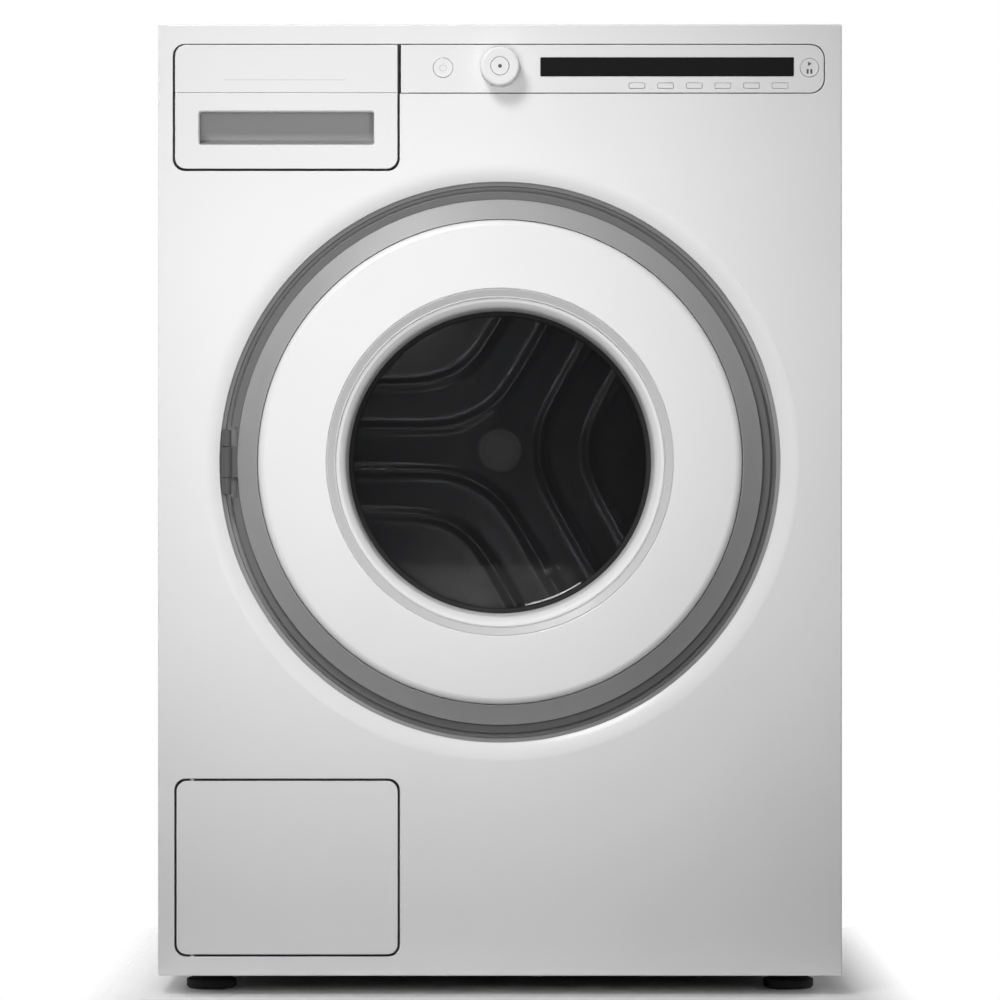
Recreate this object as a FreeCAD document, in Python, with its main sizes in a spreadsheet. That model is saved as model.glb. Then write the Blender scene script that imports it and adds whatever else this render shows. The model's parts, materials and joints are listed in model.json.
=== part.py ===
"""Front load washing machine as an assembly of separate pieces, in millimetres.

The frame has +Z up and the front towards -Y, with +X to the right as seen from the front.
The origin lies on the floor under the middle of the machine's own box.
"""
import FreeCAD, Part
import Sketcher
import math
import os
import types

from FreeCAD import Vector

DRIVING_SIZES = {
    # cabinet
    "width": 595.0, "height": 845.0, "depth": 585.0, "foot_gap": 17.0, "sheet": 1.0,
    "front_flange": 18.0, "back_inset": 4.0, "worktop_thick": 16.0, "base_height": 13.0,
    # door and its opening
    "door_height": 463.9, "lip_outer": 261.0, "port_edge": 244.4, "lip_drop": 5.0, "lip_return": 15.0,
    "skirt_outer": 228.8, "skirt_inner": 210.7, "face_outer": 210.5, "face_inner": 153.1,
    "funnel_outer": 144.2, "funnel_inner": 132.2, "face_proud": 12.0, "window_drop": 27.0,
    "hinge_offset": 238.0, "hinge_drop": 3.0, "knuckle": 4.0, "hinge_pin": 2.2,
    "latch_across": 218.5, "latch_drop": 7.5, "latch_pivot": 2.0, "latch_slot": 11.0, "lock_drop": 46.5,
    "ring_split": 0.2,
    # water fittings in the rear recess
    "recess_left": -245.0, "recess_right": -115.0, "recess_low": 712.0, "recess_high": 804.0,
    "recess_depth": 22.0, "hose_height": 758.0, "inlet_across": -212.0, "inlet_size": 13.2,
    "inlet_neck": 14.6, "drain_across": -148.0, "drain_size": 10.5, "drain_neck": 12.1, "neck_fit": 0.4,
    "neck_rise": 1.0, "relief": 1.5, "cord_across": 205.0, "cord_height": 700.0,
    # control band and drawer
    "band_left": -282.7, "band_right": 281.8, "band_low": 785.3, "band_high": 827.0,
    "drawer_right": -89.2, "drawer_low": 719.2, "drawer_corner": 9.5, "fascia_left": -86.2,
    "seam": 0.6, "drawer_gap": 2.0, "fascia_gap": 0.8,
    "cup_left": -262.3, "cup_right": -109.2, "cup_low": 739.4, "cup_high": 769.5, "cup_depth": 28.0,
    "tray_left": -262.0, "tray_right": -96.0, "tray_low": 748.0, "tray_high": 812.0, "tray_back": -45.0,
    "knob_height": 807.0, "knob_size": 17.0, "knob_proud": 18.0, "knob_button_size": 7.8,
    "power_across": -49.6, "power_size": 8.7, "start_across": 269.2, "start_size": 8.3,
    "display_left": 35.2, "display_right": 255.7, "display_low": 799.5, "display_high": 816.0,
    "key_across": 119.2, "key_pitch": 24.9, "key_low": 788.9, "key_wide": 14.0, "key_tall": 5.0,
    "button_fit": 0.1, "button_travel_room": 1.6,
    # filter flap and pump
    "flap_left": -281.3, "flap_right": -89.1, "flap_low": 35.8, "flap_high": 186.6, "flap_corner": 9.0,
    "flap_pivot_across": -268.0, "flap_pivot_drop": 4.0, "filter_across": -165.0, "filter_height": 98.0,
    # tub, drum and drive
    "drum_height": 479.0, "drum_outer": 248.5, "drum_skin": 1.5, "drum_front": -207.0, "drum_back": 125.0,
    "drum_mouth": 166.0, "drum_plate": 2.0, "tub_inner": 264.0, "tub_wall": 2.0, "tub_plate": 2.5,
    "tub_front": -217.5, "tub_split": -40.0,
    "tub_back": 150.0, "tub_port": 165.0, "shaft_front": 17.5, "shaft_back": 15.0, "bearing_fit": 0.05,
    "pulley_front": 232.0, "pulley_back": 250.0, "pulley_size": 150.0, "motor_across": 70.0,
    "motor_height": 150.0, "motor_size": 55.0, "motor_pulley_size": 11.0, "belt_gap": 0.3,
    "strut_across": 200.0, "strut_front": -150.0, "strut_back": 120.0, "lug_low": 272.0,
    "screw": 1.9,
    # feet
    "foot_across": 255.0, "front_foot": -215.0, "rear_foot": 250.0, "stud": 6.0,
}


class Dim:
    """A length that knows both its value and the expression which ties it to the sheet."""

    def __init__(self, value, text):
        self.value = value
        self.text = text

    def join(self, sign, other, value):
        return Dim(value, "(" + self.text + " " + sign + " " + other.text + ")")

    def __add__(self, other):
        other = dim(other)
        return self.join("+", other, self.value + other.value)

    def __radd__(self, other):
        return dim(other) + self

    def __sub__(self, other):
        other = dim(other)
        return self.join("-", other, self.value - other.value)

    def __rsub__(self, other):
        return dim(other) - self

    def __mul__(self, other):
        other = dim(other)
        return self.join("*", other, self.value * other.value)

    def __rmul__(self, other):
        return dim(other) * self

    def __truediv__(self, other):
        other = dim(other)
        return self.join("/", other, self.value / other.value)

    def __neg__(self):
        return 0 - self


def dim(number):
    """A Dim as it is, or a plain number as a Dim."""
    if isinstance(number, Dim):
        return number
    return Dim(float(number), "(" + repr(float(number)) + ")")


# ---------------------------------------------------------------- the document and its sheet

doc = FreeCAD.newDocument("washing_machine")
sheet = doc.addObject("Spreadsheet::Sheet", "Sizes")
for row, (alias, value) in enumerate(DRIVING_SIZES.items(), start=1):
    sheet.set("A%d" % row, alias)
    sheet.set("B%d" % row, str(value))
    sheet.setAlias("B%d" % row, alias)
doc.recompute()

size = types.SimpleNamespace()
for alias in DRIVING_SIZES:
    setattr(size, alias, Dim(float(sheet.get(alias)), "Sizes." + alias))

half_width = size.width / 2
front = size.knob_proud - (size.depth + size.knob_proud) / 2
back = (size.depth + size.knob_proud) / 2
shell_front = front + size.front_flange
rear_wall = back - size.back_inset
floor_top = size.foot_gap + size.base_height
pocket_floor = rear_wall - size.recess_depth
SMALLEST_CUT = 1e-6
parts = []


# ---------------------------------------------------------------- helpers

def bind(thing, name, length):
    thing.setExpression(name, dim(length).text)


def new_body(label, separate=False):
    """A sub-part; separate ones may hold several solids."""
    body = doc.addObject("PartDesign::Body", label)
    body.Label = label
    body.AllowCompound = separate
    body.Placement = FreeCAD.Placement()
    parts.append(body)
    return body


def add_sketch(body, plane, x=0, y=0, z=0):
    """A sketch on an origin plane of the body, moved to the point (x, y, z)."""
    sketch = body.newObject("Sketcher::SketchObject", "Sketch")
    support = [item for item in body.Origin.OriginFeatures if item.Role == plane + "_Plane"][0]
    sketch.AttachmentSupport = [(support, "")]
    sketch.MapMode = "FlatFace"
    local = {"XY": (x, y, z), "XZ": (x, z, -dim(y)), "YZ": (y, z, x)}[plane]
    for letter, shift in zip("xyz", local):
        bind(sketch, ".AttachmentOffset.Base." + letter, shift)
    return sketch


def hold(sketch, kind, geometry, point, length):
    """Fixes a point's distance from the sketch's origin to a length of the sheet."""
    length = dim(length)
    index = sketch.addConstraint(Sketcher.Constraint(kind, -1, 1, geometry, point, length.value))
    sketch.setExpression("Constraints[%d]" % index, length.text)


def arc_middle(start, end, radius):
    """The middle of the short arc from start to end; a positive radius has its centre on the left."""
    chord = end - start
    left = Vector(-chord.y, chord.x, 0).normalize()
    if radius < 0:
        left = -left
    bulge = abs(radius) - math.sqrt(radius ** 2 - (chord.Length / 2) ** 2)
    return (start + end) / 2 - left * bulge


def outline(*points):
    """A closed outline; a point with a third number starts an arc of that radius."""
    def draw(sketch):
        places = [Vector(dim(point[0]).value, dim(point[1]).value, 0) for point in points]
        first = sketch.GeometryCount
        for index, point in enumerate(points):
            start = places[index]
            end = places[(index + 1) % len(points)]
            if len(point) == 3:
                middle = arc_middle(start, end, dim(point[2]).value)
                geometry = Part.Arc(start, middle, end)
            else:
                geometry = Part.LineSegment(start, end)
            sketch.addGeometry(geometry, False)
        # an arc runs counterclockwise in a sketch, so its ends may be swapped
        starts = []
        for index in range(len(points)):
            begin = sketch.getPoint(first + index, 1)
            starts.append(1 if begin.distanceToPoint(places[index]) < 1e-6 else 2)
        for index, point in enumerate(points):
            before = (index - 1) % len(points)
            sketch.addConstraint(Sketcher.Constraint(
                "Coincident", first + before, 3 - starts[before], first + index, starts[index]))
            hold(sketch, "DistanceX", first + index, starts[index], point[0])
            hold(sketch, "DistanceY", first + index, starts[index], point[1])
            if len(point) == 3:
                radius = dim(point[2]) if dim(point[2]).value > 0 else -dim(point[2])
                which = sketch.addConstraint(Sketcher.Constraint("Radius", first + index, radius.value))
                sketch.setExpression("Constraints[%d]" % which, radius.text)
    return draw


def rect(left, right, low, high):
    return outline((left, low), (right, low), (right, high), (left, high))


def disc(across, up, radius):
    def draw(sketch):
        across_value, up_value, radius_value = dim(across).value, dim(up).value, dim(radius).value
        circle = Part.Circle(Vector(across_value, up_value, 0), Vector(0, 0, 1), radius_value)
        index = sketch.addGeometry(circle, False)
        hold(sketch, "DistanceX", index, 3, across)
        hold(sketch, "DistanceY", index, 3, up)
        which = sketch.addConstraint(Sketcher.Constraint("Radius", index, radius_value))
        sketch.setExpression("Constraints[%d]" % which, dim(radius).text)
    return draw


def place_on(plane, along):
    return {"XY": dict(z=along), "XZ": dict(y=along), "YZ": dict(x=along)}[plane]


def extrude(body, plane, shapes, low, high):
    """Adds the shapes as a pad that fills low to high across the plane."""
    base = high if plane == "XZ" else low
    sketch = add_sketch(body, plane, **place_on(plane, base))
    for shape in shapes:
        shape(sketch)
    pad = body.newObject("PartDesign::Pad", "Pad")
    pad.Profile = sketch
    bind(pad, "Length", dim(high) - low)
    body.Tip = pad
    return pad


def cut(body, plane, shapes, low, high):
    """Takes the shapes away from low to high across the plane."""
    base = low if plane == "XZ" else high
    doc.recompute()
    volume_before = body.Tip.Shape.Volume
    sketch = add_sketch(body, plane, **place_on(plane, base))
    for shape in shapes:
        shape(sketch)
    pocket = body.newObject("PartDesign::Pocket", "Pocket")
    pocket.Profile = sketch
    bind(pocket, "Length", dim(high) - low)
    doc.recompute()
    if pocket.Shape.Volume >= volume_before - SMALLEST_CUT:
        raise RuntimeError("a pocket of " + body.Label + " cuts nothing")
    body.Tip = pocket
    return pocket


def turn(body, axis, first, second, points, take_away=False):
    """Turns an outline of (radius, along) points about a line along Y at (x, z) or along Z at (x, y)."""
    if axis == "Y":
        sketch = add_sketch(body, "XY", x=first, z=second)
    else:
        sketch = add_sketch(body, "XZ", x=first, y=second)
    outline(*points)(sketch)
    kind = "PartDesign::Groove" if take_away else "PartDesign::Revolution"
    feature = body.newObject(kind, "Turned")
    feature.Profile = sketch
    feature.ReferenceAxis = (sketch, ["V_Axis"])
    feature.Angle = 360
    body.Tip = feature
    return feature


def round_edges(body, radius, chosen):
    """Rounds every edge of the body for which chosen(edge) is true."""
    doc.recompute()
    base = body.Tip
    names = ["Edge%d" % index for index, edge in enumerate(base.Shape.Edges, start=1) if chosen(edge)]
    if not names:
        raise RuntimeError("no edge to round on " + body.Label)
    fillet = body.newObject("PartDesign::Fillet", "Fillet")
    fillet.Base = (base, names)
    bind(fillet, "Radius", radius)
    body.Tip = fillet
    doc.recompute()


def near(number, length):
    return abs(number - dim(length).value) < 0.02


def across_y(*corners):
    """Chooses straight edges along Y through the given (x, z) corners."""
    def chosen(edge):
        if len(edge.Vertexes) != 2:
            return False
        start = edge.Vertexes[0].Point
        end = edge.Vertexes[1].Point
        if abs(start.x - end.x) > 0.02 or abs(start.z - end.z) > 0.02:
            return False
        return any(near(start.x, x) and near(start.z, z) for x, z in corners)
    return chosen


def corners_of(left, right, low, high):
    return across_y((left, low), (right, low), (right, high), (left, high))


def ring_edge(radius, along):
    """Chooses a full circle of this radius about a line along Y, at this y."""
    def chosen(edge):
        curve = edge.Curve
        return hasattr(curve, "Radius") and near(curve.Radius, radius) and near(curve.Center.y, along)
    return chosen


def copy_around(body, feature, axis_sketch, count):
    pattern = body.newObject("PartDesign::PolarPattern", "PolarPattern")
    pattern.Originals = [feature]
    pattern.Axis = (axis_sketch, ["N_Axis"])
    pattern.Angle = 360
    pattern.Occurrences = count
    body.Tip = pattern
    return pattern


def centre_sketch(body, across, up):
    """An empty-looking construction sketch whose normal is the axis along Y at (across, up)."""
    sketch = add_sketch(body, "XZ", x=across, z=up)
    point = sketch.addGeometry(Part.Point(Vector(0, 0, 0)), True)
    sketch.addConstraint(Sketcher.Constraint("Coincident", point, 1, -1, 1))
    return sketch


# ---------------------------------------------------------------- cabinet

def front_panel():
    """Folded sheet tray with the rolled lip of the door opening and the three front openings."""
    body = new_body("front_panel")
    low, high = size.foot_gap, size.height
    extrude(body, "XZ", [rect(-half_width, half_width, low, high)], front, shell_front)
    round_edges(body, 2, corners_of(-half_width, half_width, low, high))
    round_edges(body, 1.2, lambda edge: all(near(v.Point.y, front) for v in edge.Vertexes))
    skin = front + size.sheet
    inner = half_width - size.sheet
    cut(body, "XZ", [rect(-inner, inner, low + size.sheet, high - size.sheet)], skin, shell_front)
    cut(body, "XZ", [disc(0, size.door_height, size.lip_outer)], front, skin)
    run = size.lip_outer - size.port_edge
    bend = (run * run + size.lip_drop * size.lip_drop) / (2 * size.lip_drop)
    turn(body, "Y", 0, size.door_height, [
        (size.lip_outer, front, bend),
        (size.port_edge, front + size.lip_drop),
        (size.port_edge, front + size.lip_return),
        (size.port_edge + size.sheet, front + size.lip_return),
        (size.port_edge + size.sheet, front + size.lip_drop + 0.6, -(bend - size.sheet)),
        (size.lip_outer, skin)])
    gap, fine = size.drawer_gap, size.fascia_gap
    left = size.band_left - gap
    right = size.band_right + fine
    top = size.band_high + fine
    step = size.drawer_right + gap
    bottom = size.drawer_low - gap
    shelf = size.band_low - fine
    opening = outline(
        (left, bottom), (step, bottom), (step, shelf), (right, shelf), (right, top), (left, top))
    cut(body, "XZ", [opening], front, skin)
    round_edges(body, size.drawer_corner + 1, across_y((left, bottom), (step, bottom), (left, top)))
    round_edges(body, 12.5, across_y((right, shelf), (right, top)))
    sides = (size.flap_left - gap, size.flap_right + gap, size.flap_low - gap, size.flap_high + gap)
    cut(body, "XZ", [rect(*sides)], front, skin)
    round_edges(body, size.flap_corner + 1, corners_of(*sides))


def screw_holes():
    return [disc(across, up, size.screw + 0.05) for across, up in cover_screw_places()]


def cabinet_shell():
    """Both sides and the back, folded from one sheet, with a pressed recess for the water fittings."""
    body = new_body("cabinet_shell")
    low, high = size.foot_gap, size.height - size.worktop_thick
    inner = half_width - size.sheet
    extrude(body, "XY", [rect(-half_width, half_width, shell_front + 0.1, rear_wall)], low, high)
    cut(body, "XY", [rect(-inner, inner, shell_front + 0.1, rear_wall - size.sheet)], low, high)
    swage_front, swage_back, swage_low, swage_high = -215, 245, 75, 770
    for side in (-1, 1):
        wall_inner = side * inner
        bead = wall_inner - side * size.sheet
        near_face, far_face = (bead, wall_inner) if side > 0 else (wall_inner, bead)
        field = rect(swage_front - 1, swage_back + 1, swage_low - 1, swage_high + 1)
        extrude(body, "YZ", [field], near_face, far_face)
        wall_outer = side * half_width
        near_face, far_face = (wall_inner, wall_outer) if side > 0 else (wall_outer, wall_inner)
        cut(body, "YZ", [rect(swage_front, swage_back, swage_low, swage_high)], near_face, far_face)
    wall = size.sheet
    recess = rect(size.recess_left, size.recess_right, size.recess_low, size.recess_high)
    hollow = rect(size.recess_left + wall, size.recess_right - wall, size.recess_low + wall,
                  size.recess_high - wall)
    extrude(body, "XZ", [recess], pocket_floor - wall, rear_wall)
    cut(body, "XZ", [hollow], pocket_floor, rear_wall)
    inlet_hole = disc(size.inlet_across, size.hose_height, size.inlet_neck + size.neck_fit)
    drain_hole = disc(size.drain_across, size.hose_height, size.drain_neck + size.neck_fit)
    cut(body, "XZ", [inlet_hole, drain_hole], pocket_floor - wall, pocket_floor)
    cut(body, "XZ", [rect(-140, 140, 270, 600)], rear_wall - wall, rear_wall)
    cut(body, "XZ", [disc(size.cord_across, size.cord_height, 9.2)], rear_wall - wall, rear_wall)
    cut(body, "XZ", screw_holes(), rear_wall - wall, rear_wall)


def worktop():
    body = new_body("worktop")
    low = size.height - size.worktop_thick
    extrude(body, "XY", [rect(-half_width, half_width, shell_front + 0.1, back)], low, size.height)
    round_edges(body, 2.5, lambda edge: all(near(v.Point.z, size.height) for v in edge.Vertexes)
                and not all(near(v.Point.y, shell_front + 0.1) for v in edge.Vertexes))


def rear_cover():
    """Pressed service cover over the drive, with rows of louvres."""
    body = new_body("rear_cover")
    low_y, high_y = rear_wall, rear_wall + 1.2
    extrude(body, "XZ", [rect(-155, 155, 255, 615)], low_y, high_y)
    round_edges(body, 10, corners_of(-155, 155, 255, 615))
    extrude(body, "XZ", [rect(-120, 120, 300, 570)], low_y - 1, low_y)
    cut(body, "XZ", [rect(-119, 119, 301, 569)], low_y, high_y)
    cut(body, "XZ", screw_holes(), low_y, high_y)
    slots = [rect(-90, 90, 330 + 22 * number, 336 + 22 * number) for number in range(10)]
    cut(body, "XZ", slots, low_y - 1, low_y)


def base_frame():
    """Shallow base tray with bosses for the feet and the struts."""
    body = new_body("base_frame")
    inner = half_width - size.sheet - 0.1
    front_edge = shell_front + 0.2
    rear_edge = rear_wall - size.sheet - 0.1
    extrude(body, "XY", [rect(-inner, inner, front_edge, rear_edge)], size.foot_gap, floor_top)
    wall = 3
    cut(body, "XY", [rect(-inner + wall, inner - wall, front_edge + wall, rear_edge - wall)],
        size.foot_gap + wall, floor_top)
    bosses = [disc(side * size.foot_across, place, 16)
              for side in (-1, 1) for place in (size.front_foot, size.rear_foot)]
    pads = [disc(side * size.strut_across, place, 24)
            for side in (-1, 1) for place in (size.strut_front, size.strut_back)]
    extrude(body, "XY", bosses + pads, size.foot_gap + wall - 1, floor_top)
    bores = [disc(side * size.foot_across, place, size.stud + 0.08)
             for side in (-1, 1) for place in (size.front_foot, size.rear_foot)]
    cut(body, "XY", bores, size.foot_gap, floor_top)


def levelling_feet(label, places):
    """Rubber-shod feet on threaded studs, screwed up to their stops."""
    body = new_body(label, separate=True)
    for across, along in places:
        turn(body, "Z", across, along, [
            (0, 0), (20, 0), (22, 2), (22, 8), (12, 12), (12, size.foot_gap - 0.1),
            (size.stud, size.foot_gap - 0.1), (size.stud, 52), (0, 52)])


def cover_screw_places():
    return [(side * 146, up) for side in (-1, 1) for up in (266, 435, 604)]


def cabinet_screws():
    """Pan-head screws round the service cover, and two that hold the worktop."""
    body = new_body("cabinet_screws", separate=True)
    head_front = rear_wall + 1.2
    for x, z in cover_screw_places():
        turn(body, "Y", x, z, [
            (0, rear_wall - 6), (size.screw, rear_wall - 6), (size.screw, head_front), (4.2, head_front),
            (4.2, head_front + 1.2), (3, head_front + 2), (0, head_front + 2)])
    for x in (-260, 260):
        turn(body, "Y", x, 822, [
            (0, rear_wall), (4.2, rear_wall), (4.2, rear_wall + 1.4), (3, rear_wall + 2.2),
            (0, rear_wall + 2.2)])


# ---------------------------------------------------------------- control band

def control_fascia():
    """Plastic band with a wall behind it that carries the control board."""
    body = new_body("control_fascia")
    left, right, low, high = size.fascia_left, size.band_right, size.band_low, size.band_high
    plate_back = front + 3
    extrude(body, "XZ", [rect(left, right, low, high)], front, plate_back)
    round_edges(body, 12, across_y((right, low), (right, high)))
    extrude(body, "XZ", [rect(left + 1, right - 1, low + 0.3, high - 0.3),
                         rect(left + 3, right - 2.6, low + 1.8, high - 1.8)], plate_back, front + 20)
    fit = size.button_fit
    keys = [key_outline(number, fit) for number in range(6)]
    cut(body, "XZ", keys + [
        disc(size.power_across, size.knob_height, size.power_size + fit),
        disc(0, size.knob_height, 4.9),
        disc(size.start_across, size.knob_height, size.start_size + fit),
        rect(size.display_left - fit, size.display_right + fit,
             size.display_low - fit, size.display_high + fit),
    ], front, plate_back)


def key_outline(number, margin):
    """Outline of one option key, grown by the margin."""
    middle = size.key_across + size.key_pitch * number
    reach = size.key_wide / 2 + margin
    return rect(middle - reach, middle + reach, size.key_low - margin, size.key_low + size.key_tall + margin)


def display_window():
    body = new_body("display_window")
    sides = (size.display_left, size.display_right, size.display_low, size.display_high)
    extrude(body, "XZ", [rect(*sides)], front + 0.4, front + 3)


def control_board():
    """Circuit board with the display block, the encoder and the switches behind the buttons."""
    body = new_body("control_board")
    face = front + 20.1
    extrude(body, "XZ", [rect(size.fascia_left + 1, size.band_right - 1, size.band_low + 0.5,
                              size.band_high - 0.5)], face, face + 1.6)
    extrude(body, "XZ", [rect(size.display_left, size.display_right, size.display_low,
                              size.display_high)], front + 3.1, face)
    switch_front = front + 8 + size.button_travel_room
    for across in (size.power_across, size.start_across):
        extrude(body, "XZ", [rect(across - 3, across + 3, size.knob_height - 3, size.knob_height + 3)],
                switch_front, face)
    for number in range(6):
        extrude(body, "XZ", [key_outline(number, -1.5)], switch_front, face)
    extrude(body, "XZ", [rect(-7, 7, size.knob_height - 7, size.knob_height + 7)], front + 15.7, face)


def program_knob():
    """Hollow knob with a hollow shaft that runs in the fascia."""
    body = new_body("program_knob")
    rim = front - size.knob_proud
    bore = size.knob_button_size + size.button_fit
    turn(body, "Y", 0, size.knob_height, [
        (size.knob_size, front - 0.3), (size.knob_size, rim), (bore, rim), (bore, front - 11),
        (2.7, front - 11), (2.7, front + 12), (4.8, front + 12), (4.8, front - 7), (14.5, front - 7),
        (14.5, front - 0.3)])
    round_edges(body, 2.2, ring_edge(size.knob_size, rim))


def knob_button():
    """Push button in the middle of the knob; its stem ends inside the knob's hollow shaft."""
    body = new_body("knob_button")
    face = front - size.knob_proud + 0.3
    turn(body, "Y", 0, size.knob_height, [
        (0, face), (size.knob_button_size, face), (size.knob_button_size, front - 12.5),
        (2.6, front - 12.5), (2.6, front - 2), (0, front - 2)])
    round_edges(body, 0.6, ring_edge(size.knob_button_size, face))


def round_button(label, across, radius):
    """Round button with a collar that stops it behind the fascia."""
    body = new_body(label)
    collar = front + 3.05
    turn(body, "Y", across, size.knob_height, [
        (0, front - 0.5), (radius, front - 0.5), (radius, collar), (radius + 1.2, collar),
        (radius + 1.2, collar + 1.6), (3, collar + 1.6), (3, front + 8), (0, front + 8)])


def option_key(number):
    """One small key of the row under the display."""
    body = new_body("option_key_%d" % (number + 1))
    collar = front + 3.05
    extrude(body, "XZ", [key_outline(number, 0)], front - 0.4, collar)
    extrude(body, "XZ", [key_outline(number, 0.6)], collar, collar + 1.4)
    extrude(body, "XZ", [key_outline(number, -1.5)], collar + 1.4, front + 8)


# ---------------------------------------------------------------- drawer

def drawer_front():
    """Drawer front with the handle opening and the seam that carries on the band's lower edge."""
    body = new_body("drawer_front")
    left, right, low, high = size.band_left, size.drawer_right, size.drawer_low, size.band_high
    extrude(body, "XZ", [rect(left, right, low, high)], front, front + 12)
    round_edges(body, size.drawer_corner, across_y((left, low), (right, low), (left, high)))
    cut(body, "XZ", [rect(left + 5, right - 3, low + 5, high - 3)], front + 3, front + 12)
    cut(body, "XZ", [rect(size.cup_left, size.cup_right, size.cup_low, size.cup_high)], front, front + 3)
    seam = size.seam / 2
    cut(body, "XZ", [rect(left, right, size.band_low - seam, size.band_low + seam)], front, front + 0.6)


def drawer_handle_cup():
    """Cup behind the handle opening, taller inside so that fingers find the grip edge."""
    body = new_body("drawer_handle_cup")
    left, right, low, high = size.cup_left, size.cup_right, size.cup_low, size.cup_high
    floor_y = front + size.cup_depth
    extrude(body, "XZ", [rect(left - 1.5, right + 1.5, low - 1.5, high + 8)], front + 3, floor_y)
    cut(body, "XZ", [rect(left, right, low, high)], front + 3, floor_y - 1.5)
    cut(body, "XZ", [rect(left, right, high - 1, high + 6.5)], front + 6, floor_y - 1.5)


def drawer_tray():
    """Tray with three compartments."""
    body = new_body("drawer_tray")
    left, right, low, high = size.tray_left, size.tray_right, size.tray_low, size.tray_high
    start = front + size.cup_depth
    wall = 2
    extrude(body, "XY", [rect(left, right, start, size.tray_back)], low, high)
    first = left + 62
    second = first + 46
    spans = [(left + wall, first), (first + wall, second), (second + wall, right - wall)]
    rooms = [rect(from_x, to_x, start + wall, size.tray_back - wall) for from_x, to_x in spans]
    cut(body, "XY", rooms, low + wall, high)


def dispenser_housing():
    """Open-fronted housing that the tray slides in, with a flange between the shell and the worktop."""
    body = new_body("dispenser_housing")
    left, right = size.tray_left - 6, size.tray_right + 6
    low, high = size.tray_low - 2.3, size.tray_high + 6
    flange_front = front + size.cup_depth + 1.5
    inner = half_width - size.sheet
    extrude(body, "XZ", [rect(-inner + 2.2, size.tray_right + 8, 722, size.height - size.worktop_thick - 0.1)],
            flange_front, flange_front + 2)
    extrude(body, "XZ", [rect(left, right, low, high)], flange_front, size.tray_back + 27)
    cut(body, "XZ", [rect(left + 2, right - 2, low + 2, high - 2)], flange_front, size.tray_back + 25)


def inlet_valve():
    """Water inlet valve with its male thread in the rear recess."""
    body = new_body("inlet_valve")
    shoulder = pocket_floor + size.neck_rise
    turn(body, "Y", size.inlet_across, size.hose_height, [
        (0, pocket_floor - 20), (20, pocket_floor - 20), (20, pocket_floor - 1.5),
        (size.inlet_neck, pocket_floor - 1.5), (size.inlet_neck, shoulder), (12.2, shoulder),
        (12.2, shoulder + size.relief), (size.inlet_size, shoulder + size.relief),
        (size.inlet_size, pocket_floor + 15), (8, pocket_floor + 15), (8, pocket_floor), (0, pocket_floor)])
    block = rect(size.inlet_across - 16, size.inlet_across + 16, size.hose_height - 23, size.hose_height + 23)
    extrude(body, "XZ", [block], pocket_floor - 55, pocket_floor - 20)


def drain_spigot():
    """Spigot that the outside drain hose pushes on to."""
    body = new_body("drain_spigot")
    shoulder = pocket_floor + size.neck_rise
    turn(body, "Y", size.drain_across, size.hose_height, [
        (7.5, pocket_floor - 16), (16, pocket_floor - 16), (16, pocket_floor - 1.5),
        (size.drain_neck, pocket_floor - 1.5), (size.drain_neck, shoulder), (9.6, shoulder),
        (9.6, shoulder + size.relief), (size.drain_size, shoulder + size.relief),
        (size.drain_size, pocket_floor + 20), (7.5, pocket_floor + 20)])


def cord_gland():
    """Inlet for the mains cord."""
    body = new_body("cord_gland")
    turn(body, "Y", size.cord_across, size.cord_height, [
        (3.6, rear_wall - 8), (9, rear_wall - 8), (9, rear_wall), (13, rear_wall),
        (13, rear_wall + 2), (10, rear_wall + 3.4), (3.6, rear_wall + 3.4)])


# ---------------------------------------------------------------- door

def door_face_ring():
    """White face with its rounded rim, dished inner edge and the funnel down to the window."""
    body = new_body("door_face_ring")
    face = front - size.face_proud
    floor_y = front + size.window_drop
    turn(body, "Y", 0, size.door_height, [
        (size.face_outer, front + 8), (size.face_outer, face + 6.5, 7), (size.face_outer - 7, face),
        (size.face_inner, face), (size.face_inner - 7.6, face + 4), (size.face_inner - 7.6, face + 5),
        (size.funnel_outer, face + 5.4), (size.funnel_inner, floor_y), (size.funnel_inner + 3.4, floor_y),
        (size.funnel_outer + 3.3, face + 8.6), (size.face_inner + 0.5, face + 3),
        (size.face_outer - 7, face + 3),
        (size.face_outer - 3, face + 7), (size.face_outer - 3, front + 8)])


def door_skirt():
    """Grey cone round the face, with a flange in the groove; notched for the hinge."""
    body = new_body("door_skirt")
    turn(body, "Y", 0, size.door_height, [
        (size.skirt_inner, front - 6.6), (size.skirt_inner + 1.6, front - 8), (size.skirt_outer, front + 4.5),
        (size.skirt_outer, front + 10), (236.5, front + 10), (236.5, front + 12.5),
        (size.skirt_outer - 3, front + 12.5), (size.skirt_outer - 3, front + 6),
        (size.skirt_inner + 2.2, front - 4.2), (size.skirt_inner, front - 3.6)])
    middle = size.door_height
    cut(body, "XZ", [rect(-246, -231.5, middle - 31, middle + 31)], front + 5.5, front + 13)
    cut(body, "XZ", [rect(-240, -222, middle - 13.5, middle + 13.5)], front + 4.7, front + 13)


def door_window():
    """Tinted outer window with a bevelled rim."""
    body = new_body("door_window")
    floor_y = front + size.window_drop
    turn(body, "Y", 0, size.door_height, [
        (0, floor_y + 1.5), (126.5, floor_y + 1.5), (size.funnel_inner, floor_y + 0.1),
        (138, floor_y + 0.1), (138, floor_y + 4), (0, floor_y + 4)])


def door_glass_bowl():
    """Thick glass bowl that reaches into the drum's mouth."""
    body = new_body("door_glass_bowl")
    base = front + size.window_drop + 4.2
    turn(body, "Y", 0, size.door_height, [
        (139.3, base), (139.3, base + 7), (134, base + 13), (114, base + 68), (107, base + 74),
        (0, base + 78), (0, base + 73), (105, base + 69), (109, base + 65), (129, base + 12), (131, base)])


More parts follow.
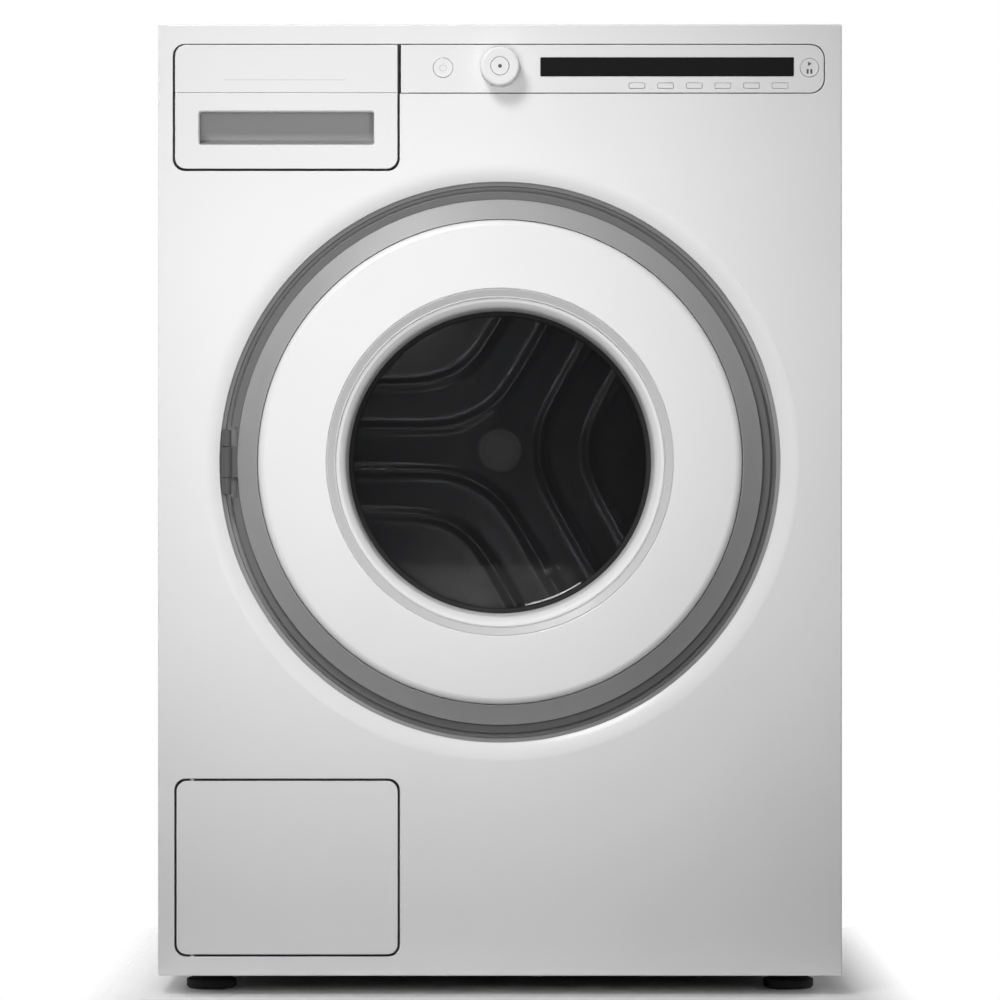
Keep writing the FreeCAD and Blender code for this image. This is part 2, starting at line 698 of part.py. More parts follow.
def door_back_cover():
    """Cover over the back of the door; it clamps the glass."""
    body = new_body("door_back_cover")
    turn(body, "Y", 0, size.door_height, [
        (225.5, front + 12.7), (225.5, front + 15.7), (208, front + 33), (139.5, front + 38.4),
        (139.5, front + 35.6), (206.5, front + 30.2), (222, front + 14.6), (222, front + 12.7)])
    middle = size.door_height
    cut(body, "XZ", [rect(200, 221, middle - 9, middle + 9)], front + 12, front + 40)


def hinge_bracket():
    """Two knuckles on webs, with the hinge pin riveted in."""
    body = new_body("hinge_bracket")
    axis_y = front + size.hinge_drop
    across = -size.hinge_offset
    middle = size.door_height
    extrude(body, "XY", [disc(across, axis_y, size.hinge_pin)], middle - 27, middle + 27)
    for low, high in ((-28, -14), (14, 28)):
        extrude(body, "XY", [disc(across, axis_y, size.knuckle)], middle + low, middle + high)
        extrude(body, "XY", [rect(across - 3.5, across, axis_y, front + 15.1)], middle + low, middle + high)


def hinge_arm():
    """Middle knuckle with the leaf that screws to the back of the door."""
    body = new_body("hinge_arm")
    axis_y = front + size.hinge_drop
    across = -size.hinge_offset
    middle = size.door_height
    extrude(body, "XY", [disc(across, axis_y, size.knuckle)], middle - 13, middle + 13)
    extrude(body, "XY", [rect(across, -211, front + 5, front + 7.6)], middle - 13, middle + 13)
    cut(body, "XY", [disc(across, axis_y, size.hinge_pin + 0.05)], middle - 13, middle + 13)


def latch_hook():
    """Sprung hook on the free side of the door, with the round pivot it swings on."""
    body = new_body("latch_hook")
    hook = outline(
        (215.5, front + 5), (221.5, front + 5), (221.5, front + 9), (213, front + 28), (213, front + 48),
        (218, front + 50), (214, front + 56.5), (209, front + 52), (209, front + 27), (215.5, front + 10))
    middle = size.door_height
    extrude(body, "XY", [hook], middle - 6, middle + 6)
    pivot = disc(size.latch_across, front + size.latch_drop, size.latch_pivot)
    extrude(body, "XY", [pivot], middle - 9, middle + 9)


def door_recess_ring():
    """Dark ring in two halves behind the panel's edge; they leave a slot for the latch hook."""
    body = new_body("door_recess_ring", separate=True)
    turn(body, "Y", 0, size.door_height, [
        (252, front + 15.2), (241, front + 15.2), (241, front + 20), (229.5, front + 24),
        (212.5, front + 40), (165, front + 46.3), (165, front + 49), (214, front + 42.8),
        (231.5, front + 26.5), (243.5, front + 22.2), (243.5, front + 17.7), (252, front + 17.7)])
    middle = size.door_height
    slot = rect(150, 256, middle - size.latch_slot, middle + size.latch_slot)
    cut(body, "XZ", [slot], front + 15, front + 50)
    split = rect(-256, -150, middle - size.ring_split, middle + size.ring_split)
    cut(body, "XZ", [split], front + 15, front + 50)


def door_lock():
    """Lock housing behind the ring, open to the front where it takes the hook."""
    body = new_body("door_lock")
    middle = size.door_height
    mouth = front + size.lock_drop
    extrude(body, "XZ", [rect(192, 250, middle - 24, middle + 24)], mouth, mouth + 14.5)
    cut(body, "XZ", [rect(197, 229, middle - 10, middle + 10)], mouth, mouth + 12.5)


def door_seal():
    """Rubber seal with one fold between the recess ring and the tub."""
    body = new_body("door_seal")
    turn(body, "Y", 0, size.door_height, [
        (177, front + 49.2), (177, front + 52.2), (150, front + 52.2), (150, front + 58.5),
        (177, front + 58.5), (177, front + 61.7), (147, front + 61.7), (147, front + 49.2)])


# ---------------------------------------------------------------- tub and drum

def tub_front():
    """Front half of the tub with the port and the front strut lugs."""
    body = new_body("tub_front")
    outer = size.tub_inner + size.tub_wall
    turn(body, "Y", 0, size.drum_height, [
        (140, size.tub_front), (outer, size.tub_front), (outer, size.tub_split - 3),
        (outer + 6, size.tub_split - 3), (outer + 6, size.tub_split), (size.tub_inner, size.tub_split),
        (size.tub_inner, size.tub_front + size.tub_plate), (140, size.tub_front + size.tub_plate)])
    neck = size.tub_front - 4
    extrude(body, "XZ", [disc(0, size.door_height, size.tub_port + 13)], neck, size.tub_front)
    cut(body, "XZ", [disc(0, size.door_height, size.tub_port)], neck, size.tub_front + 4)
    strut_lugs(body, size.strut_front, size.tub_split - 1)


def tub_rear():
    """Rear half of the tub with the bearing hub, its ribs and the rear strut lugs."""
    body = new_body("tub_rear")
    outer = size.tub_inner + size.tub_wall
    plate = size.tub_back - size.tub_plate
    turn(body, "Y", 0, size.drum_height, [
        (size.tub_inner, size.tub_split), (outer + 6, size.tub_split), (outer + 6, size.tub_split + 3),
        (outer, size.tub_split + 3), (outer, size.tub_back), (50, size.tub_back), (50, 211), (31, 211),
        (31, 192), (24, 192), (24, 172), (36, 172), (36, 143), (size.tub_inner, plate)])
    rib = extrude(body, "XZ", [rect(48, outer - 2, size.drum_height - 2, size.drum_height + 2)],
                  size.tub_back - 1, size.tub_back + 14)
    copy_around(body, rib, centre_sketch(body, 0, size.drum_height), 9)
    cut(body, "XZ", [disc(side * 22.4, 223.5, 3.6) for side in (-1, 1)], plate, size.tub_back + 15)
    strut_lugs(body, size.strut_back, plate)


def strut_lugs(body, along, inner_end):
    """Two lugs under the tub, cut back to its inner wall."""
    for side in (-1, 1):
        middle = side * size.strut_across
        extrude(body, "XZ", [rect(middle - 15, middle + 15, size.lug_low, 335)], along - 12, along + 12)
    cut(body, "XZ", [disc(0, size.drum_height, size.tub_inner)], along - 13, inner_end)


def tub_counterweight():
    """Concrete block shaped to the top of the tub."""
    body = new_body("tub_counterweight")
    extrude(body, "XZ", [rect(-72, 185, 650, 784)], -150, -50)
    cut(body, "XZ", [disc(0, size.drum_height, size.tub_inner + size.tub_wall + 0.1)], -150, -50)


def heater():
    """Bent tube under the drum with its flange on the tub's back."""
    body = new_body("heater")
    level = 223.5
    reach = 22.4
    bend = 10
    path = add_sketch(body, "XY", z=level)
    start, end = -20, size.tub_back.value + 3
    corner = [Vector(-reach, end, 0), Vector(-reach, start + bend, 0),
              Vector(-reach + bend, start, 0), Vector(reach - bend, start, 0),
              Vector(reach, start + bend, 0), Vector(reach, end, 0)]
    slack = bend * (1 - math.sqrt(0.5))
    path.addGeometry(Part.LineSegment(corner[0], corner[1]), False)
    path.addGeometry(Part.Arc(corner[1], Vector(-reach + slack, start + slack, 0), corner[2]), False)
    path.addGeometry(Part.LineSegment(corner[2], corner[3]), False)
    path.addGeometry(Part.Arc(corner[3], Vector(reach - slack, start + slack, 0), corner[4]), False)
    path.addGeometry(Part.LineSegment(corner[4], corner[5]), False)
    profile = add_sketch(body, "XZ", y=end)
    disc(-reach, level, 3.5)(profile)
    pipe = body.newObject("PartDesign::AdditivePipe", "Pipe")
    pipe.Profile = profile
    pipe.Spine = (path, [])
    body.Tip = pipe
    extrude(body, "XZ", [rect(-34, 34, level - 8, level + 8)], size.tub_back + 0.1, size.tub_back + 7)


def drum_shell():
    """Drum wall with its front ring and rolled mouth."""
    body = new_body("drum_shell")
    skin = size.drum_skin
    inner = size.drum_outer - skin
    turn(body, "Y", 0, size.drum_height, [
        (size.drum_mouth, size.drum_front), (size.drum_outer, size.drum_front),
        (size.drum_outer, size.drum_back), (inner, size.drum_back), (inner, size.drum_front + skin),
        (size.drum_mouth + skin, size.drum_front + skin), (size.drum_mouth + skin, size.drum_front + 9),
        (size.drum_mouth, size.drum_front + 9)])


def drum_back():
    """Back of the drum with a hub and a three-armed embossed star."""
    body = new_body("drum_back")
    plate = size.drum_back - size.drum_plate
    turn(body, "Y", 0, size.drum_height, [
        (0, plate - 8), (20, plate - 8), (24, plate), (size.drum_outer - size.drum_skin - 0.1, plate),
        (size.drum_outer - size.drum_skin - 0.1, size.drum_back), (0, size.drum_back)])
    middle = size.drum_height
    arm = extrude(body, "XZ", [rect(-225, -18, middle - 23, middle + 23)], plate - 5, plate)
    copy_around(body, arm, centre_sketch(body, 0, middle), 3)


def drum_lifters():
    """Three paddles inside the drum."""
    body = new_body("drum_lifters", separate=True)
    middle = size.drum_height
    paddle = outline((-32, middle + 244.3), (-13, middle + 205, -18), (13, middle + 205),
                     (32, middle + 244.3))
    feature = extrude(body, "XZ", [paddle], size.drum_front + 22, size.drum_back - 20)
    copy_around(body, feature, centre_sketch(body, 0, middle), 3)


def drum_spider():
    """Three-armed spider behind the drum, in one casting with the shaft."""
    body = new_body("drum_spider")
    middle = size.drum_height
    start = size.drum_back + 0.1
    turn(body, "Y", 0, middle, [
        (0, start), (42, start), (42, start + 12), (size.shaft_front, start + 16),
        (size.shaft_front, 180), (size.shaft_back, 184), (size.shaft_back, 262), (0, 262)])
    arm = extrude(body, "XZ", [rect(30, size.drum_outer - 6, middle - 18, middle + 18)], start, start + 10)
    copy_around(body, arm, centre_sketch(body, 0, middle), 3)


def drum_bearings():
    """Front and rear ball bearings with the shaft seal in front of them."""
    body = new_body("drum_bearings", separate=True)
    fit = size.bearing_fit
    rings = ((size.shaft_front, 35.9, 155, 171.9), (size.shaft_back, 30.9, 192.1, 207),
             (size.shaft_front, 35.9, 146, 153))
    for inner, outer, low, high in rings:
        turn(body, "Y", 0, size.drum_height, [
            (inner + fit, low), (outer, low), (outer, high), (inner + fit, high)])


def drum_pulley():
    """Large pulley with a web and five openings."""
    body = new_body("drum_pulley")
    low, high, rim = size.pulley_front, size.pulley_back, size.pulley_size
    turn(body, "Y", 0, size.drum_height, [
        (size.shaft_back, low - 2), (30, low - 2), (30, low + 6), (rim - 14, low + 6), (rim - 14, low),
        (rim, low), (rim, high), (rim - 6, high), (rim - 6, low + 10), (30, low + 10), (30, high + 4),
        (size.shaft_back, high + 4)])
    window = cut(body, "XZ", [disc(88, size.drum_height, 34)], low - 2, high + 4)
    copy_around(body, window, centre_sketch(body, 0, size.drum_height), 5)


def motor():
    """Motor with its end caps and the lugs that hang it under the tub."""
    body = new_body("motor")
    turn(body, "Y", size.motor_across, size.motor_height, [
        (7.05, 84), (size.motor_size - 12, 84), (size.motor_size, 94), (size.motor_size, 184),
        (size.motor_size - 12, 194), (22, 194), (22, 210), (7.05, 210)])
    for low, high in ((98, 116), (162, 180)):
        extrude(body, "XZ", [rect(size.motor_across - 18, size.motor_across + 14,
                                  size.motor_height + size.motor_size - 8, 214.5)], low, high)


def motor_pulley():
    """Small pulley on the rotor shaft."""
    body = new_body("motor_pulley")
    turn(body, "Y", size.motor_across, size.motor_height, [
        (0, 80), (7, 80), (7, size.pulley_front), (size.motor_pulley_size, size.pulley_front),
        (size.motor_pulley_size, size.pulley_back), (0, size.pulley_back)])


def belt_outline(drum_centre, motor_centre, grow):
    """Wire round both pulleys: two straight runs and two arcs, grown by the given amount."""
    large = size.pulley_size.value + grow
    small = size.motor_pulley_size.value + grow
    span = motor_centre - drum_centre
    heading = math.atan2(span.z, span.x)
    lean = math.acos((large - small) / span.Length)

    def rim(centre, radius, angle):
        return centre + Vector(math.cos(angle), 0, math.sin(angle)) * radius

    left, right = heading + lean, heading - lean
    far = Part.Arc(rim(drum_centre, large, left), rim(drum_centre, large, heading + math.pi),
                   rim(drum_centre, large, right))
    close = Part.Arc(rim(motor_centre, small, right), rim(motor_centre, small, heading),
                     rim(motor_centre, small, left))
    runs = [Part.LineSegment(rim(drum_centre, large, right), rim(motor_centre, small, right)),
            Part.LineSegment(rim(motor_centre, small, left), rim(drum_centre, large, left))]
    return Part.Wire([far.toShape(), runs[0].toShape(), close.toShape(), runs[1].toShape()])


def drive_belt():
    """Flat ribbed belt, a hair clear of both pulleys."""
    low = size.pulley_front.value + 3
    drum_centre = Vector(0, low, size.drum_height.value)
    motor_centre = Vector(size.motor_across.value, low, size.motor_height.value)
    gap = size.belt_gap.value
    inner = belt_outline(drum_centre, motor_centre, gap)
    outer = belt_outline(drum_centre, motor_centre, gap + 3)
    band = Part.Face(outer).cut(Part.Face(inner))
    belt = doc.addObject("Part::Feature", "drive_belt")
    belt.Label = "drive_belt"
    belt.Shape = band.extrude(Vector(0, 12, 0))
    belt.Placement = FreeCAD.Placement()
    parts.append(belt)


# ---------------------------------------------------------------- suspension

def strut_places():
    return [(side * size.strut_across, along)
            for along in (size.strut_front, size.strut_back) for side in (-1, 1)]


def damper_cylinders():
    """Four damper cylinders on the base, each with a spring seat."""
    body = new_body("damper_cylinders", separate=True)
    for across, along in strut_places():
        turn(body, "Z", across, along, [
            (0, floor_top), (17, floor_top), (17, floor_top + 40), (28, floor_top + 40),
            (28, floor_top + 44), (17, floor_top + 44), (17, 170), (5.1, 170), (5.1, 130), (0, 130)])


def damper_rods():
    """Four damper rods under the tub's lugs, each with the upper spring seat."""
    body = new_body("damper_rods", separate=True)
    top = size.lug_low - 0.1
    for across, along in strut_places():
        turn(body, "Z", across, along, [
            (0, 145), (5, 145), (5, top - 4), (28, top - 4), (28, top), (0, top)])


def suspension_springs():
    """Envelopes of the four coil springs round the dampers."""
    body = new_body("suspension_springs", separate=True)
    low = floor_top + 44.1
    high = size.lug_low - 4.2
    for across, along in strut_places():
        turn(body, "Z", across, along, [(22, low), (24, low), (24, high), (22, high)])


# ---------------------------------------------------------------- pump and filter

def filter_recess():
    """Box behind the filter flap with the bearings of the flap's pins."""
    body = new_body("filter_recess")
    left, right, low, high = -291, -83, 31, 192
    start, end = front + size.sheet, -240
    wall = 2
    extrude(body, "XZ", [rect(left, right, low, high)], start, end)
    cut(body, "XZ", [rect(left + wall, right - wall, low + wall, high - wall)], start, end - wall)
    cut(body, "XZ", [disc(size.filter_across, size.filter_height, 33)], end - wall, end)
    pivot_y = front + size.flap_pivot_drop
    for below, above in ((low, low + wall), (high - wall, high)):
        cut(body, "XY", [disc(size.flap_pivot_across, pivot_y, 2.05)], below, above)


def filter_flap():
    """Flap with a stiffening rim, two pivot pins and the knuckles that carry them."""
    body = new_body("filter_flap")
    left, right, low, high = size.flap_left, size.flap_right, size.flap_low, size.flap_high
    extrude(body, "XZ", [rect(left, right, low, high)], front, front + 2.5)
    round_edges(body, size.flap_corner, corners_of(left, right, low, high))
    extrude(body, "XZ", [rect(left + 14, right - 5, low + 5, high - 5),
                         rect(left + 16, right - 7, low + 7, high - 7)], front + 2.4, front + 6)
    pivot_x, pivot_y = size.flap_pivot_across, front + size.flap_pivot_drop
    for below, above in ((low + 1, low + 14), (high - 14, high - 1)):
        extrude(body, "XY", [disc(pivot_x, pivot_y, 2.6)], below, above)
    extrude(body, "XY", [disc(pivot_x, pivot_y, 2)], 31.5, low + 2)
    extrude(body, "XY", [disc(pivot_x, pivot_y, 2)], high - 2, 191.5)


def filter_cap():
    """Screw cap of the lint filter with a grip bar."""
    body = new_body("filter_cap")
    turn(body, "Y", size.filter_across, size.filter_height, [
        (0, -262), (31, -262), (31, -252.2), (23.95, -252.2), (23.95, -226), (0, -226)])
    middle = size.filter_across
    grip = rect(middle - 4, middle + 4, size.filter_height - 24, size.filter_height + 24)
    extrude(body, "XZ", [grip], -272, -261)


def drain_pump():
    """Filter neck and pump motor side by side in one housing."""
    body = new_body("drain_pump")
    turn(body, "Y", size.filter_across, size.filter_height, [
        (24, -252), (32, -252), (32, -190), (0, -190), (0, -196), (24, -196)])
    extrude(body, "XZ", [rect(size.filter_across + 28, -95, size.filter_height - 22,
                              size.filter_height + 22)], -228, -192)
    turn(body, "Y", -108, size.filter_height, [(0, -194), (28, -194), (28, -130), (0, -130)])


# ---------------------------------------------------------------- make everything

front_panel()
cabinet_shell()
worktop()
rear_cover()
base_frame()
levelling_feet("front_foot_left", [(-size.foot_across, size.front_foot)])
levelling_feet("front_foot_right", [(size.foot_across, size.front_foot)])
levelling_feet("rear_feet", [(side * size.foot_across, size.rear_foot) for side in (-1, 1)])
cabinet_screws()
control_fascia()
display_window()
control_board()
program_knob()
knob_button()
round_button("power_button", size.power_across, size.power_size)
round_button("start_button", size.start_across, size.start_size)
for key_number in range(6):
    option_key(key_number)
drawer_front()
drawer_handle_cup()
drawer_tray()
dispenser_housing()
inlet_valve()
drain_spigot()
cord_gland()
door_face_ring()
door_skirt()
door_window()
door_glass_bowl()
door_back_cover()
hinge_bracket()
hinge_arm()
latch_hook()
door_recess_ring()
door_lock()
door_seal()
tub_front()
tub_rear()
tub_counterweight()
heater()
drum_shell()
drum_back()
drum_lifters()
drum_spider()
drum_bearings()
drum_pulley()
motor()
motor_pulley()
drive_belt()
damper_cylinders()
damper_rods()
suspension_springs()
filter_recess()
filter_flap()
filter_cap()
drain_pump()
doc.recompute()

failed = [item for item in doc.Objects if "Invalid" in item.State or "Error" in item.State]
failed += [part for part in parts if part.Shape.isNull() or not part.Shape.isValid()]
for item in failed:
    owner = item.getParentGeoFeatureGroup()
    place = owner.Label if owner else "the document"
    print(item.Label, "of", place, "failed:", item.State, item.getStatusString())
if failed:
    raise RuntimeError("some objects failed")
os.makedirs("parts", exist_ok=True)
for part in parts:
    part.Shape.exportStep(os.path.join("parts", part.Label + ".step"))
    print("%-20s %3d solid(s) %12.0f mm3" % (part.Label, len(part.Shape.Solids), part.Shape.Volume))
print(len(parts), "parts written")
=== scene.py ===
import json
import math

import bmesh
import bpy
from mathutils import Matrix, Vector, geometry


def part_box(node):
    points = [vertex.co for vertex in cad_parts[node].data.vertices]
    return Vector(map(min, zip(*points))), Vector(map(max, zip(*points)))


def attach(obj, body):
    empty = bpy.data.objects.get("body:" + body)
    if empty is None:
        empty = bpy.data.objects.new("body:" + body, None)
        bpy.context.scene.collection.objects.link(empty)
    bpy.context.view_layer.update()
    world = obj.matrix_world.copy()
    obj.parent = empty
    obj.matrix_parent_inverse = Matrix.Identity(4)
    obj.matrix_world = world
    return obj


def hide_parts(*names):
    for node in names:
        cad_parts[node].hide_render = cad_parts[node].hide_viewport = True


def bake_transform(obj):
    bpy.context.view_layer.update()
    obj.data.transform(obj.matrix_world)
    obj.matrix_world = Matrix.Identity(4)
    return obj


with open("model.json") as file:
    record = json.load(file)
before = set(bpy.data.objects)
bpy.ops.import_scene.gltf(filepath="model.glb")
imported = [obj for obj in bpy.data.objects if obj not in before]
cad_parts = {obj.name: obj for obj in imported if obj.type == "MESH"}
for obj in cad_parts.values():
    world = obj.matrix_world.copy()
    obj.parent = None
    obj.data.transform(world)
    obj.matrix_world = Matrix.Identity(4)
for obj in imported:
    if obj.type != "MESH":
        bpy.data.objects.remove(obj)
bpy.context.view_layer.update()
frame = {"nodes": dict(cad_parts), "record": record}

MM = 0.001
nodes = frame["nodes"]
record = frame["record"]


# ---------------------------------------------------------------- places, read from the frame

def centre(node):
    low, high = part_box(node)
    return (low + high) / 2


panel_low, panel_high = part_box("front_panel")
FRONT = panel_low.y
DOOR = centre("door_window")
DRUM = centre("drum_back")
KNOB = centre("program_knob")
band_low, band_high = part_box("control_fascia")
drawer_low, drawer_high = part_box("drawer_front")
flap_low, flap_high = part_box("filter_flap")


# ---------------------------------------------------------------- camera and light

PHOTO_DISTANCE = 4.0
FRAME_WIDTH = 595 * MM / 0.684
camera_data = bpy.data.cameras.new("camera")
camera_data.sensor_width = 36.0
camera_data.lens = 36.0 * PHOTO_DISTANCE / FRAME_WIDTH
camera_data.clip_end = 50.0
camera = bpy.data.objects.new("camera", camera_data)
camera.location = (0.0, FRONT - PHOTO_DISTANCE, (panel_low.z + panel_high.z) / 2)
camera.rotation_euler = (math.radians(90), 0, 0)
bpy.context.collection.objects.link(camera)
bpy.context.scene.camera = camera


def area_light(name, place, target, size, power, mirrored=True, lights=True, spread=180):
    data = bpy.data.lights.new(name, "AREA")
    data.energy = power
    data.size = size
    data.spread = math.radians(spread)
    lamp = bpy.data.objects.new(name, data)
    lamp.location = place
    lamp.rotation_euler = (Vector(target) - Vector(place)).to_track_quat("-Z", "Y").to_euler()
    lamp.visible_camera = False
    lamp.visible_glossy = mirrored
    lamp.visible_diffuse = lights
    bpy.context.collection.objects.link(lamp)
    return lamp


area_light("front_light", (-0.08, FRONT - 1.15, 0.54), (-0.08, FRONT, 0.54), 0.6, 2.25,
           mirrored=False, spread=80)
area_light("key_light", (-0.65, FRONT - 1.25, 2.0), (-0.12, FRONT, 0.66), 0.6, 3.3, spread=66)
area_light("low_card", (-0.06, FRONT - 1.2, 0.20), (-0.06, FRONT, 0.20), 0.30, 0.14, lights=False)
area_light("drum_lamp_high", (-0.10, -0.15, 0.64), (0.02, 0.12, 0.46), 0.05, 0.030)
area_light("drum_lamp_low", (-0.03, -0.15, 0.32), (0.02, 0.12, 0.46), 0.05, 0.026)
area_light("top_light", (0.2, 0.25, 2.6), (0, 0.1, 0.8), 1.6, 12)
area_light("back_light", (-1.2, 2.6, 1.6), (0, 0.2, 0.45), 1.6, 42, mirrored=False)
area_light("left_light", (-2.4, 0.5, 1.5), (-0.2, 0.1, 0.4), 1.4, 30)
area_light("right_light", (2.4, 0.5, 1.4), (0.2, 0.1, 0.4), 1.4, 24)


def studio_world():
    """White studio: white as seen, softer as a light."""
    world = bpy.data.worlds.new("studio")
    world.use_nodes = True
    tree = world.node_tree
    tree.nodes.clear()
    seen = tree.nodes.new("ShaderNodeBackground")
    seen.inputs["Color"].default_value = (1, 1, 1, 1)
    seen.inputs["Strength"].default_value = 1.0
    ambient = tree.nodes.new("ShaderNodeBackground")
    ambient.inputs["Color"].default_value = (1, 1, 1, 1)
    ambient.inputs["Strength"].default_value = 0.06
    path = tree.nodes.new("ShaderNodeLightPath")
    mix = tree.nodes.new("ShaderNodeMixShader")
    out = tree.nodes.new("ShaderNodeOutputWorld")
    tree.links.new(path.outputs["Is Camera Ray"], mix.inputs["Fac"])
    tree.links.new(ambient.outputs[0], mix.inputs[1])
    tree.links.new(seen.outputs[0], mix.inputs[2])
    tree.links.new(mix.outputs[0], out.inputs["Surface"])
    bpy.context.scene.world = world


studio_world()
bpy.context.scene.view_settings.view_transform = "Standard"
bpy.context.scene.view_settings.look = "None"


# ---------------------------------------------------------------- materials

class Nodes:
    """A material's node tree with short calls for what the finishes share."""

    def __init__(self, name):
        self.material = bpy.data.materials.new(name)
        self.material.use_nodes = True
        self.tree = self.material.node_tree
        self.shader = self.tree.nodes["Principled BSDF"]
        self.coords = self.tree.nodes.new("ShaderNodeTexCoord")

    def new(self, kind, **settings):
        node = self.tree.nodes.new(kind)
        for key, value in settings.items():
            setattr(node, key, value)
        return node

    def link(self, source, target):
        self.tree.links.new(source, target)

    def noise(self, scale, detail=3.0, stretch=(1, 1, 1), roughness=0.5):
        mapping = self.new("ShaderNodeMapping")
        mapping.inputs["Scale"].default_value = stretch
        self.link(self.coords.outputs["Object"], mapping.inputs["Vector"])
        noise = self.new("ShaderNodeTexNoise")
        noise.inputs["Scale"].default_value = scale
        noise.inputs["Detail"].default_value = detail
        noise.inputs["Roughness"].default_value = roughness
        self.link(mapping.outputs[0], noise.inputs["Vector"])
        return noise.outputs["Fac"]

    def spread(self, source, low, high, start=0.3, end=0.7):
        """The source, mapped from start..end to low..high."""
        node = self.new("ShaderNodeMapRange")
        node.inputs["From Min"].default_value = start
        node.inputs["From Max"].default_value = end
        node.inputs["To Min"].default_value = low
        node.inputs["To Max"].default_value = high
        self.link(source, node.inputs["Value"])
        return node.outputs["Result"]

    def blend_colours(self, source, first, second):
        mix = self.new("ShaderNodeMix", data_type="RGBA")
        mix.inputs[6].default_value = (*first, 1)
        mix.inputs[7].default_value = (*second, 1)
        self.link(source, mix.inputs[0])
        self.link(mix.outputs[2], self.shader.inputs["Base Color"])

    def bump(self, source, strength, distance):
        node = self.new("ShaderNodeBump")
        node.inputs["Strength"].default_value = strength
        node.inputs["Distance"].default_value = distance
        self.link(source, node.inputs["Height"])
        self.link(node.outputs["Normal"], self.shader.inputs["Normal"])


def finish(name, colour, rough, metal=0.0, shade=0.97, patch=6.0, grain=900.0, relief=0.05, depth=0.0002,
           coat=0.0, stretch=(1, 1, 1), specular=0.5):
    """A finish with cloudy colour, uneven gloss and a fine grain."""
    paint = Nodes(name)
    cloud = paint.noise(patch, 4.0)
    darker = tuple(part * shade for part in colour)
    paint.blend_colours(paint.spread(cloud, 0.0, 1.0), darker, colour)
    paint.link(paint.spread(paint.noise(patch * 5, 5.0, stretch), rough * 0.88, min(1.0, rough * 1.12)),
               paint.shader.inputs["Roughness"])
    paint.bump(paint.noise(grain, 2.0, stretch), relief, depth)
    paint.shader.inputs["Metallic"].default_value = metal
    paint.shader.inputs["Coat Weight"].default_value = coat
    paint.shader.inputs["Coat Roughness"].default_value = 0.12
    paint.shader.inputs["Specular IOR Level"].default_value = specular
    return paint.material


def brushed(name, colour, rough, stretch, relief=0.25, metal=1.0):
    """Metal with fine lines across the stretched direction."""
    paint = Nodes(name)
    lines = paint.noise(40, 6.0, stretch, 0.65)
    darker = tuple(part * 0.86 for part in colour)
    paint.blend_colours(paint.spread(lines, 0.0, 1.0), darker, colour)
    paint.link(paint.spread(lines, rough * 0.75, rough * 1.3), paint.shader.inputs["Roughness"])
    paint.bump(lines, relief, 0.0001)
    paint.shader.inputs["Metallic"].default_value = metal
    return paint.material


def glass(name, colour, see_through, rough=0.02):
    """Glass: mirror-like in front, seen through by its alpha, with faint wiping marks in the gloss."""
    paint = Nodes(name)
    smear = paint.noise(7, 5.0, (1, 1, 0.35))
    paint.blend_colours(smear, colour, tuple(min(1.0, part * 1.25) for part in colour))
    paint.link(paint.spread(smear, rough, rough * 2.2), paint.shader.inputs["Roughness"])
    paint.shader.inputs["Alpha"].default_value = 1 - see_through
    paint.shader.inputs["IOR"].default_value = 1.5
    paint.shader.inputs["Coat Weight"].default_value = 0.3
    return paint.material


def concrete():
    paint = Nodes("concrete")
    stones = paint.noise(90, 8.0, (1, 1, 1), 0.7)
    paint.blend_colours(paint.spread(stones, 0, 1), (0.26, 0.25, 0.24), (0.48, 0.47, 0.45))
    paint.shader.inputs["Roughness"].default_value = 0.95
    paint.bump(stones, 0.7, 0.002)
    return paint.material


